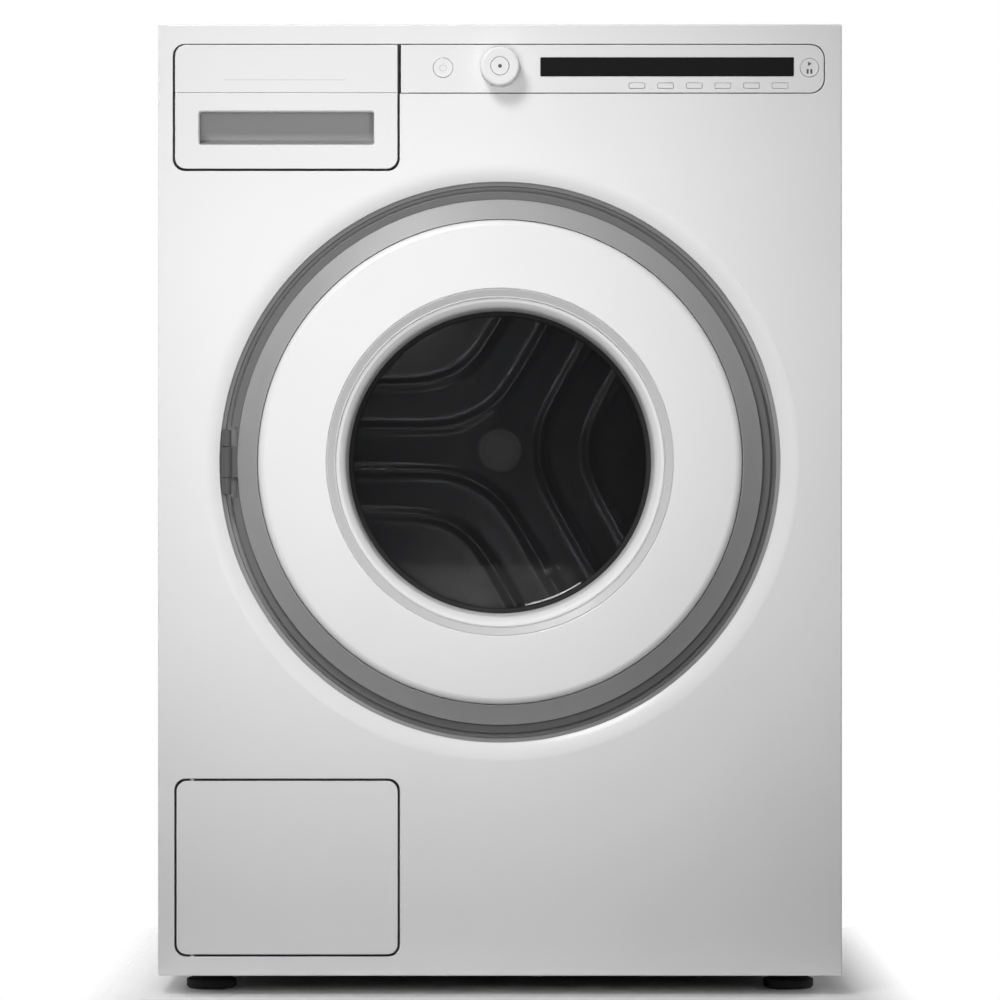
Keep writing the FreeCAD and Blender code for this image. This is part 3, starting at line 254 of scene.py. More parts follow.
WHITE = (0.80, 0.80, 0.80)
finishes = {
    "white_enamel": finish("white_enamel", WHITE, 0.42, relief=0.035, grain=700, coat=0.12),
    "white_laminate": finish("white_laminate", (0.79, 0.79, 0.79), 0.5, relief=0.09, grain=1500),
    "white_plastic": finish("white_plastic", (0.78, 0.78, 0.78), 0.46, relief=0.05, grain=1800),
    "white_gloss": finish("white_gloss", (0.76, 0.76, 0.76), 0.34, relief=0.02, grain=500, coat=0.2),
    "silver_grey": finish("silver_grey", (0.42, 0.42, 0.42), 0.36, metal=0.25, shade=0.93, relief=0.05,
                          grain=2600, coat=0.15),
    "dark_plastic": finish("dark_plastic", (0.28, 0.28, 0.28), 0.5, shade=0.88, relief=0.08, grain=1500),
    "grey_plastic": finish("grey_plastic", (0.35, 0.35, 0.35), 0.5, shade=0.94, relief=0.08, grain=1300),
    "lifter_plastic": finish("lifter_plastic", (0.42, 0.42, 0.43), 0.4, shade=0.95, relief=0.04, grain=900),
    "black_plastic": finish("black_plastic", (0.025, 0.025, 0.026), 0.45, shade=0.8, relief=0.1, grain=1400),
    "display_glass": finish("display_glass", (0.011, 0.011, 0.012), 0.16, shade=0.9, relief=0.0, coat=0.5),
    "tinted_glass": glass("tinted_glass", (0.004, 0.004, 0.005), 0.6),
    "clear_glass": glass("clear_glass", (0.02, 0.022, 0.022), 0.88),
    "black_rubber": finish("black_rubber", (0.022, 0.022, 0.022), 0.8, shade=0.75, relief=0.25, grain=700),
    "grey_rubber": finish("grey_rubber", (0.16, 0.165, 0.17), 0.65, shade=0.85, relief=0.15, grain=900),
    "stainless": brushed("stainless", (0.56, 0.56, 0.57), 0.24, (40, 1, 40), metal=0.92),
    "zinc_steel": brushed("zinc_steel", (0.62, 0.63, 0.64), 0.42, (1, 1, 30), 0.12, metal=0.45),
    "dark_steel": finish("dark_steel", (0.11, 0.11, 0.11), 0.5, metal=0.1, shade=0.85, relief=0.1),
    "drum_press": finish("drum_press", (0.47, 0.47, 0.48), 0.40, metal=0.9, shade=0.94, patch=9,
                         relief=0.012, grain=160),
    "bearing_steel": brushed("bearing_steel", (0.6, 0.6, 0.62), 0.2, (1, 60, 1), 0.1),
    "motor_steel": finish("motor_steel", (0.11, 0.11, 0.12), 0.5, metal=0.5, shade=0.85, relief=0.1),
    "cast_aluminium": finish("cast_aluminium", (0.55, 0.55, 0.56), 0.42, metal=1.0, shade=0.85, relief=0.3,
                             grain=420),
    "concrete": concrete(),
    "board_green": finish("board_green", (0.015, 0.10, 0.04), 0.35, shade=0.8, relief=0.2, grain=300),
    # groove_painted_shade: near-black painted shade for the skirt's flange, which sits down in the shaded
    # groove
    "groove_painted_shade": finish("groove_painted_shade", (0.14, 0.14, 0.14), 0.5, shade=0.88, relief=0.08, grain=1500),
    # dish_painted_shade: a darker white for the door's dish, painted shade that greys its sloping band all
    # round
    "dish_painted_shade": finish("dish_painted_shade", (0.55, 0.55, 0.55), 0.4, relief=0.02, grain=500),
    "funnel_white": finish("funnel_white", (0.76, 0.76, 0.76), 0.4, relief=0.02, grain=500),
    "mark_grey": finish("mark_grey", (0.10, 0.10, 0.105), 0.55, shade=0.9),
    "mark_pale": finish("mark_pale", (0.47, 0.47, 0.48), 0.5, shade=0.95),
}
slot_of = {entry["node"]: entry["material_slot"] for entry in record["subparts"]}
body_of_node = {node: body for body, names in record["behaviour"]["bodies"].items() for node in names}


def paint_object(thing, name):
    thing.data.materials.clear()
    thing.data.materials.append(finishes[name])


def smooth_by_angle(mesh, degrees=32):
    for face in mesh.polygons:
        face.use_smooth = True
    mesh.set_sharp_from_angle(angle=math.radians(degrees))


for node_name, thing in nodes.items():
    paint_object(thing, slot_of[node_name])
    smooth = thing.modifiers.new("smooth", "WEIGHTED_NORMAL")
    smooth.keep_sharp = True
    smooth_by_angle(thing.data)


# ---------------------------------------------------------------- mesh helpers

def piece(name, verts, faces, node=None, body=None, look=None, sharp=32, weld=0.00001, loose=False):
    """A new mesh piece; it stands for the node, or rides on the body with that look, unless it is loose."""
    mesh = bpy.data.meshes.new(name)
    mesh.from_pydata([tuple(v) for v in verts], [], faces)
    work = bmesh.new()
    work.from_mesh(mesh)
    bmesh.ops.remove_doubles(work, verts=work.verts, dist=weld)
    bmesh.ops.dissolve_degenerate(work, dist=weld, edges=work.edges)
    bmesh.ops.recalc_face_normals(work, faces=work.faces)
    work.to_mesh(mesh)
    work.free()
    smooth_by_angle(mesh, sharp)
    thing = bpy.data.objects.new(name, mesh)
    bpy.context.collection.objects.link(thing)
    weighted = thing.modifiers.new("smooth", "WEIGHTED_NORMAL")
    weighted.keep_sharp = True
    if node:
        look = look or slot_of[node]
        body = body or body_of_node[node]
        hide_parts(node)
    paint_object(thing, look)
    if not loose:
        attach(thing, body)
    return thing


BOX_FACES = [(0, 1, 3, 2), (4, 6, 7, 5), (0, 4, 5, 1), (2, 3, 7, 6), (0, 2, 6, 4), (1, 5, 7, 3)]


def box_corners(low, high):
    return [(x, y, z) for x in (low[0], high[0]) for y in (low[1], high[1]) for z in (low[2], high[2])]


def cut_away(thing, low, high):
    """Cuts a box, given by its two corners, out of a closed piece."""
    mesh = bpy.data.meshes.new("cutter")
    mesh.from_pydata(box_corners(low, high), [], BOX_FACES)
    cutter = bpy.data.objects.new("cutter", mesh)
    bpy.context.collection.objects.link(cutter)
    finishing = thing.modifiers["smooth"]
    finishing.show_viewport = False
    boolean = thing.modifiers.new("cut", "BOOLEAN")
    boolean.object = cutter
    boolean.operation = "DIFFERENCE"
    boolean.solver = "EXACT"
    bpy.context.view_layer.update()
    shaped = thing.evaluated_get(bpy.context.evaluated_depsgraph_get())
    result = bpy.data.meshes.new_from_object(shaped)
    thing.modifiers.remove(boolean)
    thing.data = result
    finishing.show_viewport = True
    bpy.data.objects.remove(cutter)
    smooth_by_angle(result)


def softened(points, steps=5):
    """A closed outline of (a, b) points; a third number rounds that corner with this radius."""
    result = []
    count = len(points)
    for index, point in enumerate(points):
        here = Vector(point[:2])
        radius = point[2] if len(point) > 2 else 0.0
        before = Vector(points[index - 1][:2])
        after = Vector(points[(index + 1) % count][:2])
        back, ahead = (before - here), (after - here)
        if radius <= 0 or back.length < 1e-9 or ahead.length < 1e-9:
            result.append(here)
            continue
        back.normalize()
        ahead.normalize()
        half = math.acos(max(-1.0, min(1.0, back.dot(ahead)))) / 2
        reach = radius / math.tan(half)
        middle = here + (back + ahead).normalized() * (radius / math.sin(half))
        start, end = here + back * reach - middle, here + ahead * reach - middle
        sweep = start.angle_signed(end)
        for step in range(steps + 1):
            angle = -sweep * step / steps
            turned = Vector((start.x * math.cos(angle) - start.y * math.sin(angle),
                             start.x * math.sin(angle) + start.y * math.cos(angle)))
            result.append(middle + turned)
    return result


def lathe(name, outline, middle, segments=192, rise=None, **how):
    """Turns a closed outline of (radius, y) about the line along Y through middle."""
    verts, faces = [], []
    ring = len(outline)
    for turn in range(segments):
        angle = math.tau * turn / segments
        for radius, along in outline:
            lift = rise(radius, along, angle) if rise else 0.0
            verts.append((middle.x + radius * math.cos(angle), along + lift,
                          middle.z + radius * math.sin(angle)))
    for turn in range(segments):
        following = (turn + 1) % segments
        for index in range(ring):
            after = (index + 1) % ring
            faces.append((turn * ring + index, turn * ring + after,
                          following * ring + after, following * ring + index))
    return piece(name, verts, faces, **how)


def loop_of(points, radii, steps=7):
    """Returns a function that gives the rounded outline, drawn in by an inset."""
    def draw(inset):
        count = len(points)
        moved = []
        for index in range(count):
            here, before, after = (Vector(points[k % count]) for k in (index, index - 1, index + 1))
            first = (here - before).normalized()
            second = (after - here).normalized()
            normal_first, normal_second = Vector((-first.y, first.x)), Vector((-second.y, second.x))
            bisector = normal_first + normal_second
            shift = bisector * (inset / max(0.05, normal_first.dot(bisector)))
            convex = first.x * second.y - first.y * second.x > 0
            radius = radii[index] + (-inset if convex else inset)
            moved.append((*(here + shift), max(radius, 0.00002)))
        return softened(moved, steps)
    return draw


def box_loop(left, right, low, high, radius, steps=7):
    radii = radius if isinstance(radius, (list, tuple)) else [radius] * 4
    return loop_of([(left, low), (right, low), (right, high), (left, high)], radii, steps)


def circle_loop(middle, radius, count=160):
    def draw(inset):
        size = radius - inset
        return [Vector((middle.x + size * math.cos(math.tau * k / count),
                        middle.z + size * math.sin(math.tau * k / count))) for k in range(count)]
    return draw


def roll(radius, steps=4):
    """The front edge of a sheet: (inset, depth) pairs from the flat face round to the side."""
    return [(radius - radius * math.sin(math.pi / 2 * k / steps),
             radius - radius * math.cos(math.pi / 2 * k / steps)) for k in range(steps + 1)]


def panel(name, front_y, loops, **how):
    """A flat-faced piece. loops holds (draw, profile, is_hole); a profile runs from face to back."""
    verts, faces = [], []
    face_loops, back_loops, starts, ends = [], [], [], []
    for draw, profile, is_hole in loops:
        sign = -1 if is_hole else 1
        rows = []
        for inset, depth in profile:
            row = draw(sign * inset)
            rows.append(len(verts))
            verts.extend((point.x, front_y + depth, point.y) for point in row)
        count = len(row)
        for first, second in zip(rows, rows[1:]):
            for k in range(count):
                after = (k + 1) % count
                faces.append((first + k, first + after, second + after, second + k))
        starts.append(rows[0])
        ends.append(rows[-1])
        face_loops.append([Vector((v[0], v[2], 0)) for v in verts[rows[0]:rows[0] + count]])
        back_loops.append([Vector((v[0], v[2], 0)) for v in verts[rows[-1]:rows[-1] + count]])
    for group, offsets in ((face_loops, starts), (back_loops, ends)):
        index_of = [offset + k for loop, offset in zip(group, offsets) for k in range(len(loop))]
        for triangle in geometry.tessellate_polygon(group):
            faces.append(tuple(index_of[k] for k in triangle))
    return piece(name, verts, faces, **how)


def slab(name, draw, front_y, back_y, edge, **how):
    """A solid plate with a rounded front edge."""
    profile = roll(edge) + [(0, back_y - front_y)]
    return panel(name, front_y, [(draw, profile, False)], **how)


# ---------------------------------------------------------------- cabinet front

LIP_RUN, LIP_DROP, LIP_RETURN = 16.6 * MM, 5.0 * MM, 15.0 * MM
PORT = 244.4 * MM
SHEET = 1.0 * MM
GAP = 2.0 * MM
FINE_GAP = 0.8 * MM

# the flap's box includes its pins, which stand out below and above the plate
PIN_BELOW, PIN_ABOVE = 4.3 * MM, 4.9 * MM
flap_bottom, flap_top = flap_low.z + PIN_BELOW, flap_high.z - PIN_ABOVE


def front_panel():
    """Steel front with its rolled door lip."""
    bend = (LIP_RUN ** 2 + LIP_DROP ** 2) / (2 * LIP_DROP)
    lean = math.asin(LIP_RUN / bend)
    steps = 10
    outside = [(LIP_RUN - bend * math.sin(lean * k / steps), bend - bend * math.cos(lean * k / steps))
               for k in range(steps + 1)]
    inside = [(LIP_RUN - (bend - SHEET) * math.sin(lean * k / steps),
               bend - (bend - SHEET) * math.cos(lean * k / steps)) for k in range(steps, -1, -1)]
    lip = outside + [(0.2 * MM, LIP_DROP + 0.6 * MM), (0.2 * MM, LIP_RETURN),
                     (SHEET, LIP_RETURN)] + inside
    cut_edge = roll(0.35 * MM, 3) + [(0, SHEET)]
    fold = roll(1.4 * MM) + [(0, panel_high.y - FRONT), (SHEET, panel_high.y - FRONT), (SHEET, SHEET)]
    left, right = drawer_low.x - GAP, band_high.x + FINE_GAP
    step, shelf = drawer_high.x + GAP, band_low.z - FINE_GAP
    bottom, top = drawer_low.z - GAP, band_high.z + FINE_GAP
    opening = loop_of(
        [(left, bottom), (step, bottom), (step, shelf), (right, shelf), (right, top), (left, top)],
        [10.5 * MM, 10.5 * MM, 0.3 * MM, 12.5 * MM, 12.5 * MM, 10.5 * MM])
    flap = box_loop(flap_low.x - GAP, flap_high.x + GAP, flap_bottom - GAP, flap_top + GAP, 10 * MM)
    outer = box_loop(panel_low.x, panel_high.x, panel_low.z, panel_high.z, 2.2 * MM)
    return panel("steel_front", FRONT, [
        (outer, fold, False), (circle_loop(DOOR, PORT, 256), lip, True),
        (opening, cut_edge, True), (flap, cut_edge, True)], node="front_panel")


front_panel()


def drawer():
    """Drawer front with its handle opening and the fine seam that carries the band's line on."""
    cup_low, cup_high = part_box("drawer_handle_cup")
    wall = 1.5 * MM
    left, right = cup_low.x + wall, cup_high.x - wall
    low, high = cup_low.z + wall, cup_high.z - 8 * MM
    corner, tight_corner, seam_corner = 9.5 * MM, 0.6 * MM, 0.1 * MM
    half_seam = 0.15 * MM
    handle = box_loop(left, right, low, high, 2.6 * MM)
    seam = band_low.z
    lower_half = box_loop(drawer_low.x, drawer_high.x, drawer_low.z, seam - half_seam,
                          [corner, corner, seam_corner, seam_corner])
    edge = roll(0.45 * MM, 3) + [(0, drawer_high.y - FRONT)]
    thick = drawer_high.y - FRONT
    hole_edge = roll(0.5 * MM, 3) + [(0, 2.6 * MM), (-0.6 * MM, 2.9 * MM), (-0.6 * MM, thick)]
    panel("drawer_lower_front", FRONT, [(lower_half, edge, False), (handle, hole_edge, True)],
          node="drawer_front")
    upper_half = box_loop(drawer_low.x, drawer_high.x, seam + half_seam, drawer_high.z,
                          [seam_corner, seam_corner, tight_corner, corner])
    slab("drawer_upper_front", upper_half, FRONT, drawer_high.y, 0.3 * MM, node="drawer_front")


drawer()


def gap_strip():
    """Black strip on the cabinet, behind the gap under the drawer: painted shade that keeps the gap dark."""
    bottom, top = drawer_low.z - 6 * MM, drawer_low.z - 0.2 * MM
    draw = box_loop(drawer_low.x, drawer_high.x, bottom, top, 0.5 * MM)
    slab("drawer_gap_shade_strip", draw, FRONT + 3 * MM, FRONT + 5 * MM, 0.3 * MM, body="cabinet",
         look="black_rubber")


gap_strip()


def handle_cup():
    """Grey cup behind the handle opening: a sloping floor, a ledge and finger room above."""
    low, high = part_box("drawer_handle_cup")
    wall = 1.5 * MM
    profile = [
        (low.y, low.z), (high.y, low.z), (high.y, high.z), (low.y, high.z),
        (low.y, high.z - wall), (high.y - wall, high.z - wall), (high.y - wall, low.z + 18 * MM),
        (high.y - 5 * MM, low.z + 7 * MM, 3 * MM), (low.y + 1 * MM, low.z + 3.4 * MM),
        (low.y, low.z + 3.0 * MM)]
    points = softened([(p[0] / MM, p[1] / MM, *(r / MM for r in p[2:])) for p in profile])
    verts, faces = [], []
    columns = [low.x, low.x + wall, high.x - wall, high.x]
    for x in columns:
        verts.extend((x, p.x * MM, p.y * MM) for p in points)
    ring = len(points)
    for column in range(3):
        for k in range(ring):
            after = (k + 1) % ring
            faces.append((column * ring + k, column * ring + after,
                          (column + 1) * ring + after, (column + 1) * ring + k))
    for start in (0, 3 * ring):
        faces.append(tuple(range(start, start + ring)))
    piece("handle_cup", verts, faces, node="drawer_handle_cup", sharp=40)
    for side, x in (("left", low.x), ("right", high.x - wall)):
        corners = box_corners((x, low.y, low.z), (x + wall, high.y, high.z))
        piece("handle_cup_%s_cheek" % side, corners, BOX_FACES, node="drawer_handle_cup", sharp=40)


handle_cup()


def flap_plate():
    """Skin over the flap's front, with softly rolled edges."""
    draw = box_loop(flap_low.x, flap_high.x, flap_bottom, flap_top, 9 * MM)
    slab("flap_plate", draw, FRONT - 0.01 * MM, FRONT + 2.45 * MM, 0.6 * MM, body="flap",
         look="white_enamel")


flap_plate()


# ---------------------------------------------------------------- control band

def control_band():
    """Band plate with round and long openings, each with its own soft edge."""
    plate_back = 3 * MM
    edge = roll(0.35 * MM, 3) + [(0, plate_back)]
    hole = roll(0.25 * MM, 3) + [(0, plate_back)]
    square_end, round_end = 0.6 * MM, 12 * MM
    outer = box_loop(band_low.x, band_high.x, band_low.z, band_high.z,
                     [square_end, round_end, round_end, square_end])
    loops = [(outer, edge, False), (circle_loop(KNOB, 4.9 * MM, 48), hole, True)]
    for name in ("power_button", "start_button"):
        loops.append((circle_loop(centre(name), button_radius(name) + 0.1 * MM, 72), hole, True))
    window_low, window_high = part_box("display_window")
    margin = 0.1 * MM
    loops.append((box_loop(window_low.x - margin, window_high.x + margin, window_low.z - margin,
                           window_high.z + margin, 0.8 * MM, 4), hole, True))
    for number in range(1, 7):
        loops.append((key_loop(number, 0.1 * MM), hole, True))
    panel("band_plate", FRONT, loops, node="control_fascia")


def button_radius(name):
    low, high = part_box(name)
    return (high.x - low.x) / 2 - 1.2 * MM


def key_loop(number, margin):
    low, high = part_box("option_key_%d" % number)
    collar = 0.6 * MM - margin
    return box_loop(low.x + collar, high.x - collar, low.z + collar, high.z - collar, 1.3 * MM + margin, 4)


control_band()


def buttons():
    for name in ("power_button", "start_button"):
        low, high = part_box(name)
        radius = button_radius(name) - 0.25 * MM
        collar = low.y + 3.55 * MM
        top = softened([(0.0001, low.y + 0.25 * MM), (radius - 2.2 * MM, low.y + 0.2 * MM),
                        (radius, low.y, 0.45 * MM), (radius, collar), (radius + 1.2 * MM, collar),
                        (radius + 1.2 * MM, collar + 1.5 * MM), (0.0001, collar + 1.5 * MM)])
        lathe(name + "_cap", top, centre(name), 96, node=name)
    for number in range(1, 7):
        name = "option_key_%d" % number
        low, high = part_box(name)
        slab(name + "_cap", key_loop(number, -0.22 * MM), low.y + 0.15 * MM, high.y - 1 * MM, 0.4 * MM,
             node=name)
    low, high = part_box("display_window")
    slab("display_pane", box_loop(low.x, high.x, low.z, high.z, 0.7 * MM, 4), low.y, high.y, 0.25 * MM,
         node="display_window")


buttons()


def knob():
    """Knob with a softly rounded rim, a shallow dish and a separate centre button."""
    low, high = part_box("program_knob")
    rim = low.y
    radius = (high.x - low.x) / 2
    body = softened([
        (radius, FRONT - 0.35 * MM, 0.3 * MM), (radius, rim, 2.4 * MM), (9.2 * MM, rim + 0.25 * MM, 2 * MM),
        (8.15 * MM, rim + 0.3 * MM, 0.3 * MM), (8.15 * MM, FRONT - 11 * MM), (2.7 * MM, FRONT - 11 * MM),
        (2.7 * MM, high.y), (4.75 * MM, high.y), (4.75 * MM, FRONT - 7 * MM), (14.5 * MM, FRONT - 7 * MM),
        (14.5 * MM, FRONT - 0.35 * MM)])
    lathe("knob_shell", body, KNOB, 160, node="program_knob")
    low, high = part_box("knob_button")
    radius = (high.x - low.x) / 2
    face = softened([(0.0001, low.y + 0.15 * MM), (radius - 1.5 * MM, low.y + 0.1 * MM),
                     (radius - 0.05 * MM, low.y, 0.4 * MM), (radius - 0.05 * MM, low.y + 5 * MM),
                     (2.55 * MM, low.y + 5 * MM), (2.55 * MM, high.y), (0.0001, high.y)])
    lathe("knob_centre_cap", face, centre("knob_button"), 96, node="knob_button")


knob()


# ---------------------------------------------------------------- generic marks on the buttons

def flat_mark(name, outline, y, body, look):
    """A thin inlay of the outline, standing hardly proud of the surface."""
    count = len(outline)
    verts = [(x, y + depth, z) for depth in (0, 0.3 * MM) for x, z in outline]
    faces = [tuple(range(count)), tuple(range(2 * count - 1, count - 1, -1))]
    faces += [(k, (k + 1) % count, count + (k + 1) % count, count + k) for k in range(count)]
    return piece(name, verts, faces, body=body, look=look)


def arc_band(middle, inner, outer, start, end, steps=40):
    """Outline of a part of a ring, between two angles in degrees."""
    angles = [math.radians(start + (end - start) * k / steps) for k in range(steps + 1)]
    points = [(middle.x + outer * math.cos(a), middle.z + outer * math.sin(a)) for a in angles]
    points += [(middle.x + inner * math.cos(a), middle.z + inner * math.sin(a)) for a in reversed(angles)]
    return points


def marks():
    power = centre("power_button")
    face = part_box("power_button")[0].y + 0.15 * MM
    flat_mark("power_mark_ring", arc_band(power, 2.7 * MM, 3.15 * MM, 120, 420), face, "power_key",
              "mark_pale")
    bar = 0.24 * MM
    flat_mark("power_mark_bar", [(power.x - bar, power.z + 1.2 * MM), (power.x + bar, power.z + 1.2 * MM),
                                 (power.x + bar, power.z + 3.6 * MM), (power.x - bar, power.z + 3.6 * MM)],
              face, "power_key", "mark_pale")
    start = centre("start_button")
    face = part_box("start_button")[0].y + 0.15 * MM
    up = start.z + 3.4 * MM
    flat_mark("start_mark", [(start.x - 1.3 * MM, up - 1.9 * MM), (start.x + 1.9 * MM, up),
                             (start.x - 1.3 * MM, up + 1.9 * MM)], face, "start_key", "mark_grey")
    down = start.z - 3.2 * MM
    for side in (-1, 1):
        middle = start.x + side * 1.6 * MM
        flat_mark("pause_mark_%s" % ("left" if side < 0 else "right"),
                  [(middle - 0.85 * MM, down - 2 * MM), (middle + 0.85 * MM, down - 2 * MM),
                   (middle + 0.85 * MM, down + 2 * MM), (middle - 0.85 * MM, down + 2 * MM)],
                  face, "start_key", "mark_grey")
    knob_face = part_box("knob_button")[0].y + 0.02 * MM
    middle = centre("knob_button")
    flat_mark("knob_mark", arc_band(middle, 0.01 * MM, 1.7 * MM, 0, 360), knob_face, "knob_centre",
              "mark_grey")
    line_low = band_low.z + 11 * MM
    line_high = line_low + 0.35 * MM
    left, right = -240 * MM, -134 * MM
    flat_mark("drawer_line", [(left, line_low), (right, line_low), (right, line_high), (left, line_high)],
              FRONT - 0.02 * MM, "drawer", "mark_pale")


marks()


# ---------------------------------------------------------------- door

def deep(radius, depth, *soft):
    """A turned point of the door, in millimetres from its axis and from the front's plane."""
    return (radius * MM, FRONT + depth * MM, *(value * MM for value in soft))


def open_slot(thing, inner, outer, half_height):
    """Opens a slot through a turned piece of the door, in millimetres across from its axis."""
    reach = 60 * MM
    cut_away(thing, (DOOR.x + inner * MM, FRONT, DOOR.z - half_height * MM),
             (DOOR.x + outer * MM, FRONT + reach, DOOR.z + half_height * MM))


def door():
    """Door, turned about its axis from front to back, and the groove's ring that it closes on."""
    lathe("door_face", softened([
        deep(210.5, 7.9), deep(210.5, -12, 6.5), deep(150.6, -12, 1.2), deep(150.6, -9),
        deep(203.5, -9), deep(207.5, -5), deep(207.5, 7.9)], 8), DOOR, 256, node="door_face_ring")
    # the dish takes a darker white than the face ring: painted shade for its sloping band
    lathe("door_dish", softened([
        deep(150.6, -11.8, 0.6), deep(143.9, -8.4, 0.5), deep(143.3, -8.8, 0.25), deep(142.7, -8.6, 0.2),
        deep(142.3, -6.8), deep(146.0, -4.0), deep(150.6, -9)], 4), DOOR, 256, node="door_face_ring",
        look="dish_painted_shade")
    lathe("door_funnel", softened([
        deep(142.3, -7.2, 0.3), deep(139.4, -6.4, 4), deep(134.4, -1.5, 12), deep(132.4, 12, 20),
        deep(132.2, 26.8, 0.6), deep(135.6, 26.9), deep(146.0, -4.0), deep(142.5, -6.4)], 8),
        DOOR, 256, node="door_face_ring", look="funnel_white")
    lathe("door_cone", softened([
        deep(210.75, -5.4), deep(211.1, -7.7, 0.3), deep(228.8, 4.5, 1.6), deep(228.8, 9.6),
        deep(225.8, 9.6), deep(225.8, 6), deep(212.9, -3.6), deep(210.75, -3.2)], 6), DOOR, 256,
        node="door_skirt")
    # the skirt's flange is painted near black: painted shade for the groove it sits in
    flange = lathe("door_flange", softened([
        deep(228.9, 9.9, 0.3), deep(236.4, 9.9, 1.2), deep(236.4, 12.4), deep(225.8, 12.4),
        deep(225.8, 9.7)], 5), DOOR, 256, node="door_skirt", look="groove_painted_shade")
    open_slot(flange, -243, -229, 31)
    lathe("window_pane", softened([
        deep(0.01, 28.3), deep(60, 28.3), deep(110, 28.4), deep(125.6, 28.5, 1.5), deep(127.4, 27.5, 0.5),
        deep(132.4, 27.1), deep(138, 27.1), deep(138, 31), deep(0.01, 31)], 5),
        DOOR, 192, node="door_window")
    lathe("window_gasket", softened([
        deep(132.5, 26.6, 0.4), deep(132.5, 28.4), deep(127.6, 28.4), deep(127.6, 27.9, 0.3),
        deep(129.6, 26.6, 0.6)], 4), DOOR, 192, body="door", look="black_rubber")
    lathe("glass_bowl", softened([
        deep(139.2, 31.3), deep(139.2, 38, 1), deep(134, 44, 5), deep(114, 99, 8), deep(105, 105, 12),
        deep(60, 108.2), deep(0.01, 109.1), deep(0.01, 104.3), deep(60, 103.7), deep(103, 100.5, 11),
        deep(109.4, 96, 6), deep(129, 43.2, 4), deep(131, 31.3)], 6),
        DOOR, 160, node="door_glass_bowl")
    back = lathe("door_back", softened([
        deep(225.3, 12.9), deep(225.3, 15.7, 1.2), deep(208, 33, 6), deep(139.6, 38.3, 0.6),
        deep(139.6, 35.7), deep(206.5, 30.4), deep(222.4, 14.6), deep(222.4, 12.9)], 6),
        DOOR, 224, node="door_back_cover")
    open_slot(back, 203, 219, 9)
    ring = lathe("groove_ring", softened([
        deep(251.8, 15.3), deep(241, 15.3, 0.5), deep(241, 20, 2), deep(229.5, 24, 5), deep(212.5, 40, 8),
        deep(165.2, 46.4, 0.8), deep(165.2, 48.9), deep(213.8, 42.8, 6), deep(231.4, 26.6),
        deep(243.4, 22.2), deep(243.4, 17.6), deep(251.8, 17.6)], 6), DOOR, 224, node="door_recess_ring")
    open_slot(ring, 195, 228, 11)


door()


def seal():
    """Rubber seal with its fold; it stretches between the cabinet and the tub."""
    thing = lathe("seal_rubber", softened([
        deep(177, 49.3, 0.6), deep(177, 52.1, 0.6), deep(150, 52.1, 1.2), deep(150, 58.6, 1.2),
        deep(177, 58.6, 0.6), deep(177, 61.6, 0.6), deep(147.2, 61.6, 1.4), deep(148, 55.5, 2),
        deep(147.2, 49.3, 1.4)], 4), DOOR, 160, node="door_seal", loose=True)
    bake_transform(thing)


seal()


# ---------------------------------------------------------------- drum

ARM_ANGLES = (180, 60, -60)


def star_height(x, z):
    """Height of the embossed back at (x, z) from the drum's axis: two nested beads beside each arm."""
    distances = []
    for degrees in ARM_ANGLES:
        ray = Vector((math.cos(math.radians(degrees)), math.sin(math.radians(degrees))))
        along = x * ray.x + z * ray.y
        distances.append(abs(x * ray.y - z * ray.x) if along > 0 else math.hypot(x, z))
    smooth = 13 * MM
    nearest = -smooth * math.log(sum(math.exp(-value / smooth) for value in distances))
    nearest += smooth * 0.35
    radius = math.hypot(x, z)
    fade = max(0.0, min(1.0, (222 * MM - radius) / (18 * MM)))
    beads = 0.0
    for middle, width, height in ((25 * MM, 4.6 * MM, 5.2 * MM), (66 * MM, 4.6 * MM, 4.4 * MM)):
        beads += height * math.exp(-((nearest - middle) / width) ** 2)
    plateau = 2.4 * MM / (1 + math.exp((nearest - 25 * MM) / (2.5 * MM)))
    hub = max(0.0, min(1.0, (radius - 26 * MM) / (10 * MM)))
    return (beads * hub + plateau) * fade


def drum_back():
    """Pressed back of the drum with the star and the hub cap."""
    low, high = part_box("drum_back")
    radius = (high.x - low.x) / 2
    plate = high.y - 2 * MM
    rings, spokes = 130, 256
    verts = [(DRUM.x, plate, DRUM.z)]
    for ring in range(1, rings + 1):
        size = radius * ring / rings
        for spoke in range(spokes):
            x = size * math.cos(math.tau * spoke / spokes)
            z = size * math.sin(math.tau * spoke / spokes)
            verts.append((DRUM.x + x, plate - star_height(x, z), DRUM.z + z))
    faces = [(0, 1 + k, 1 + (k + 1) % spokes) for k in range(spokes)]
    for ring in range(rings - 1):
        first = 1 + ring * spokes
        for k in range(spokes):
            after = (k + 1) % spokes
            faces.append((first + k, first + spokes + k, first + spokes + after, first + after))
    rim = 1 + (rings - 1) * spokes
    base = len(verts)
    for spoke in range(spokes):
        x, _, z = verts[rim + spoke]
        verts.append((x, high.y, z))
    faces += [(rim + k, base + k, base + (k + 1) % spokes, rim + (k + 1) % spokes) for k in range(spokes)]
    faces.append(tuple(base + k for k in range(spokes)))
    piece("drum_back_press", verts, faces, node="drum_back", look="drum_press", sharp=60)
    cap = softened([
        (0.0001, low.y + 0.4 * MM), (14 * MM, low.y + 0.6 * MM, 4 * MM),
        (20 * MM, low.y + 2.5 * MM, 2 * MM), (23.5 * MM, plate + 0.5 * MM), (0.0001, plate + 0.5 * MM)])
    lathe("drum_hub_cap", cap, DRUM, 96, body="drum", look="lifter_plastic")


drum_back()


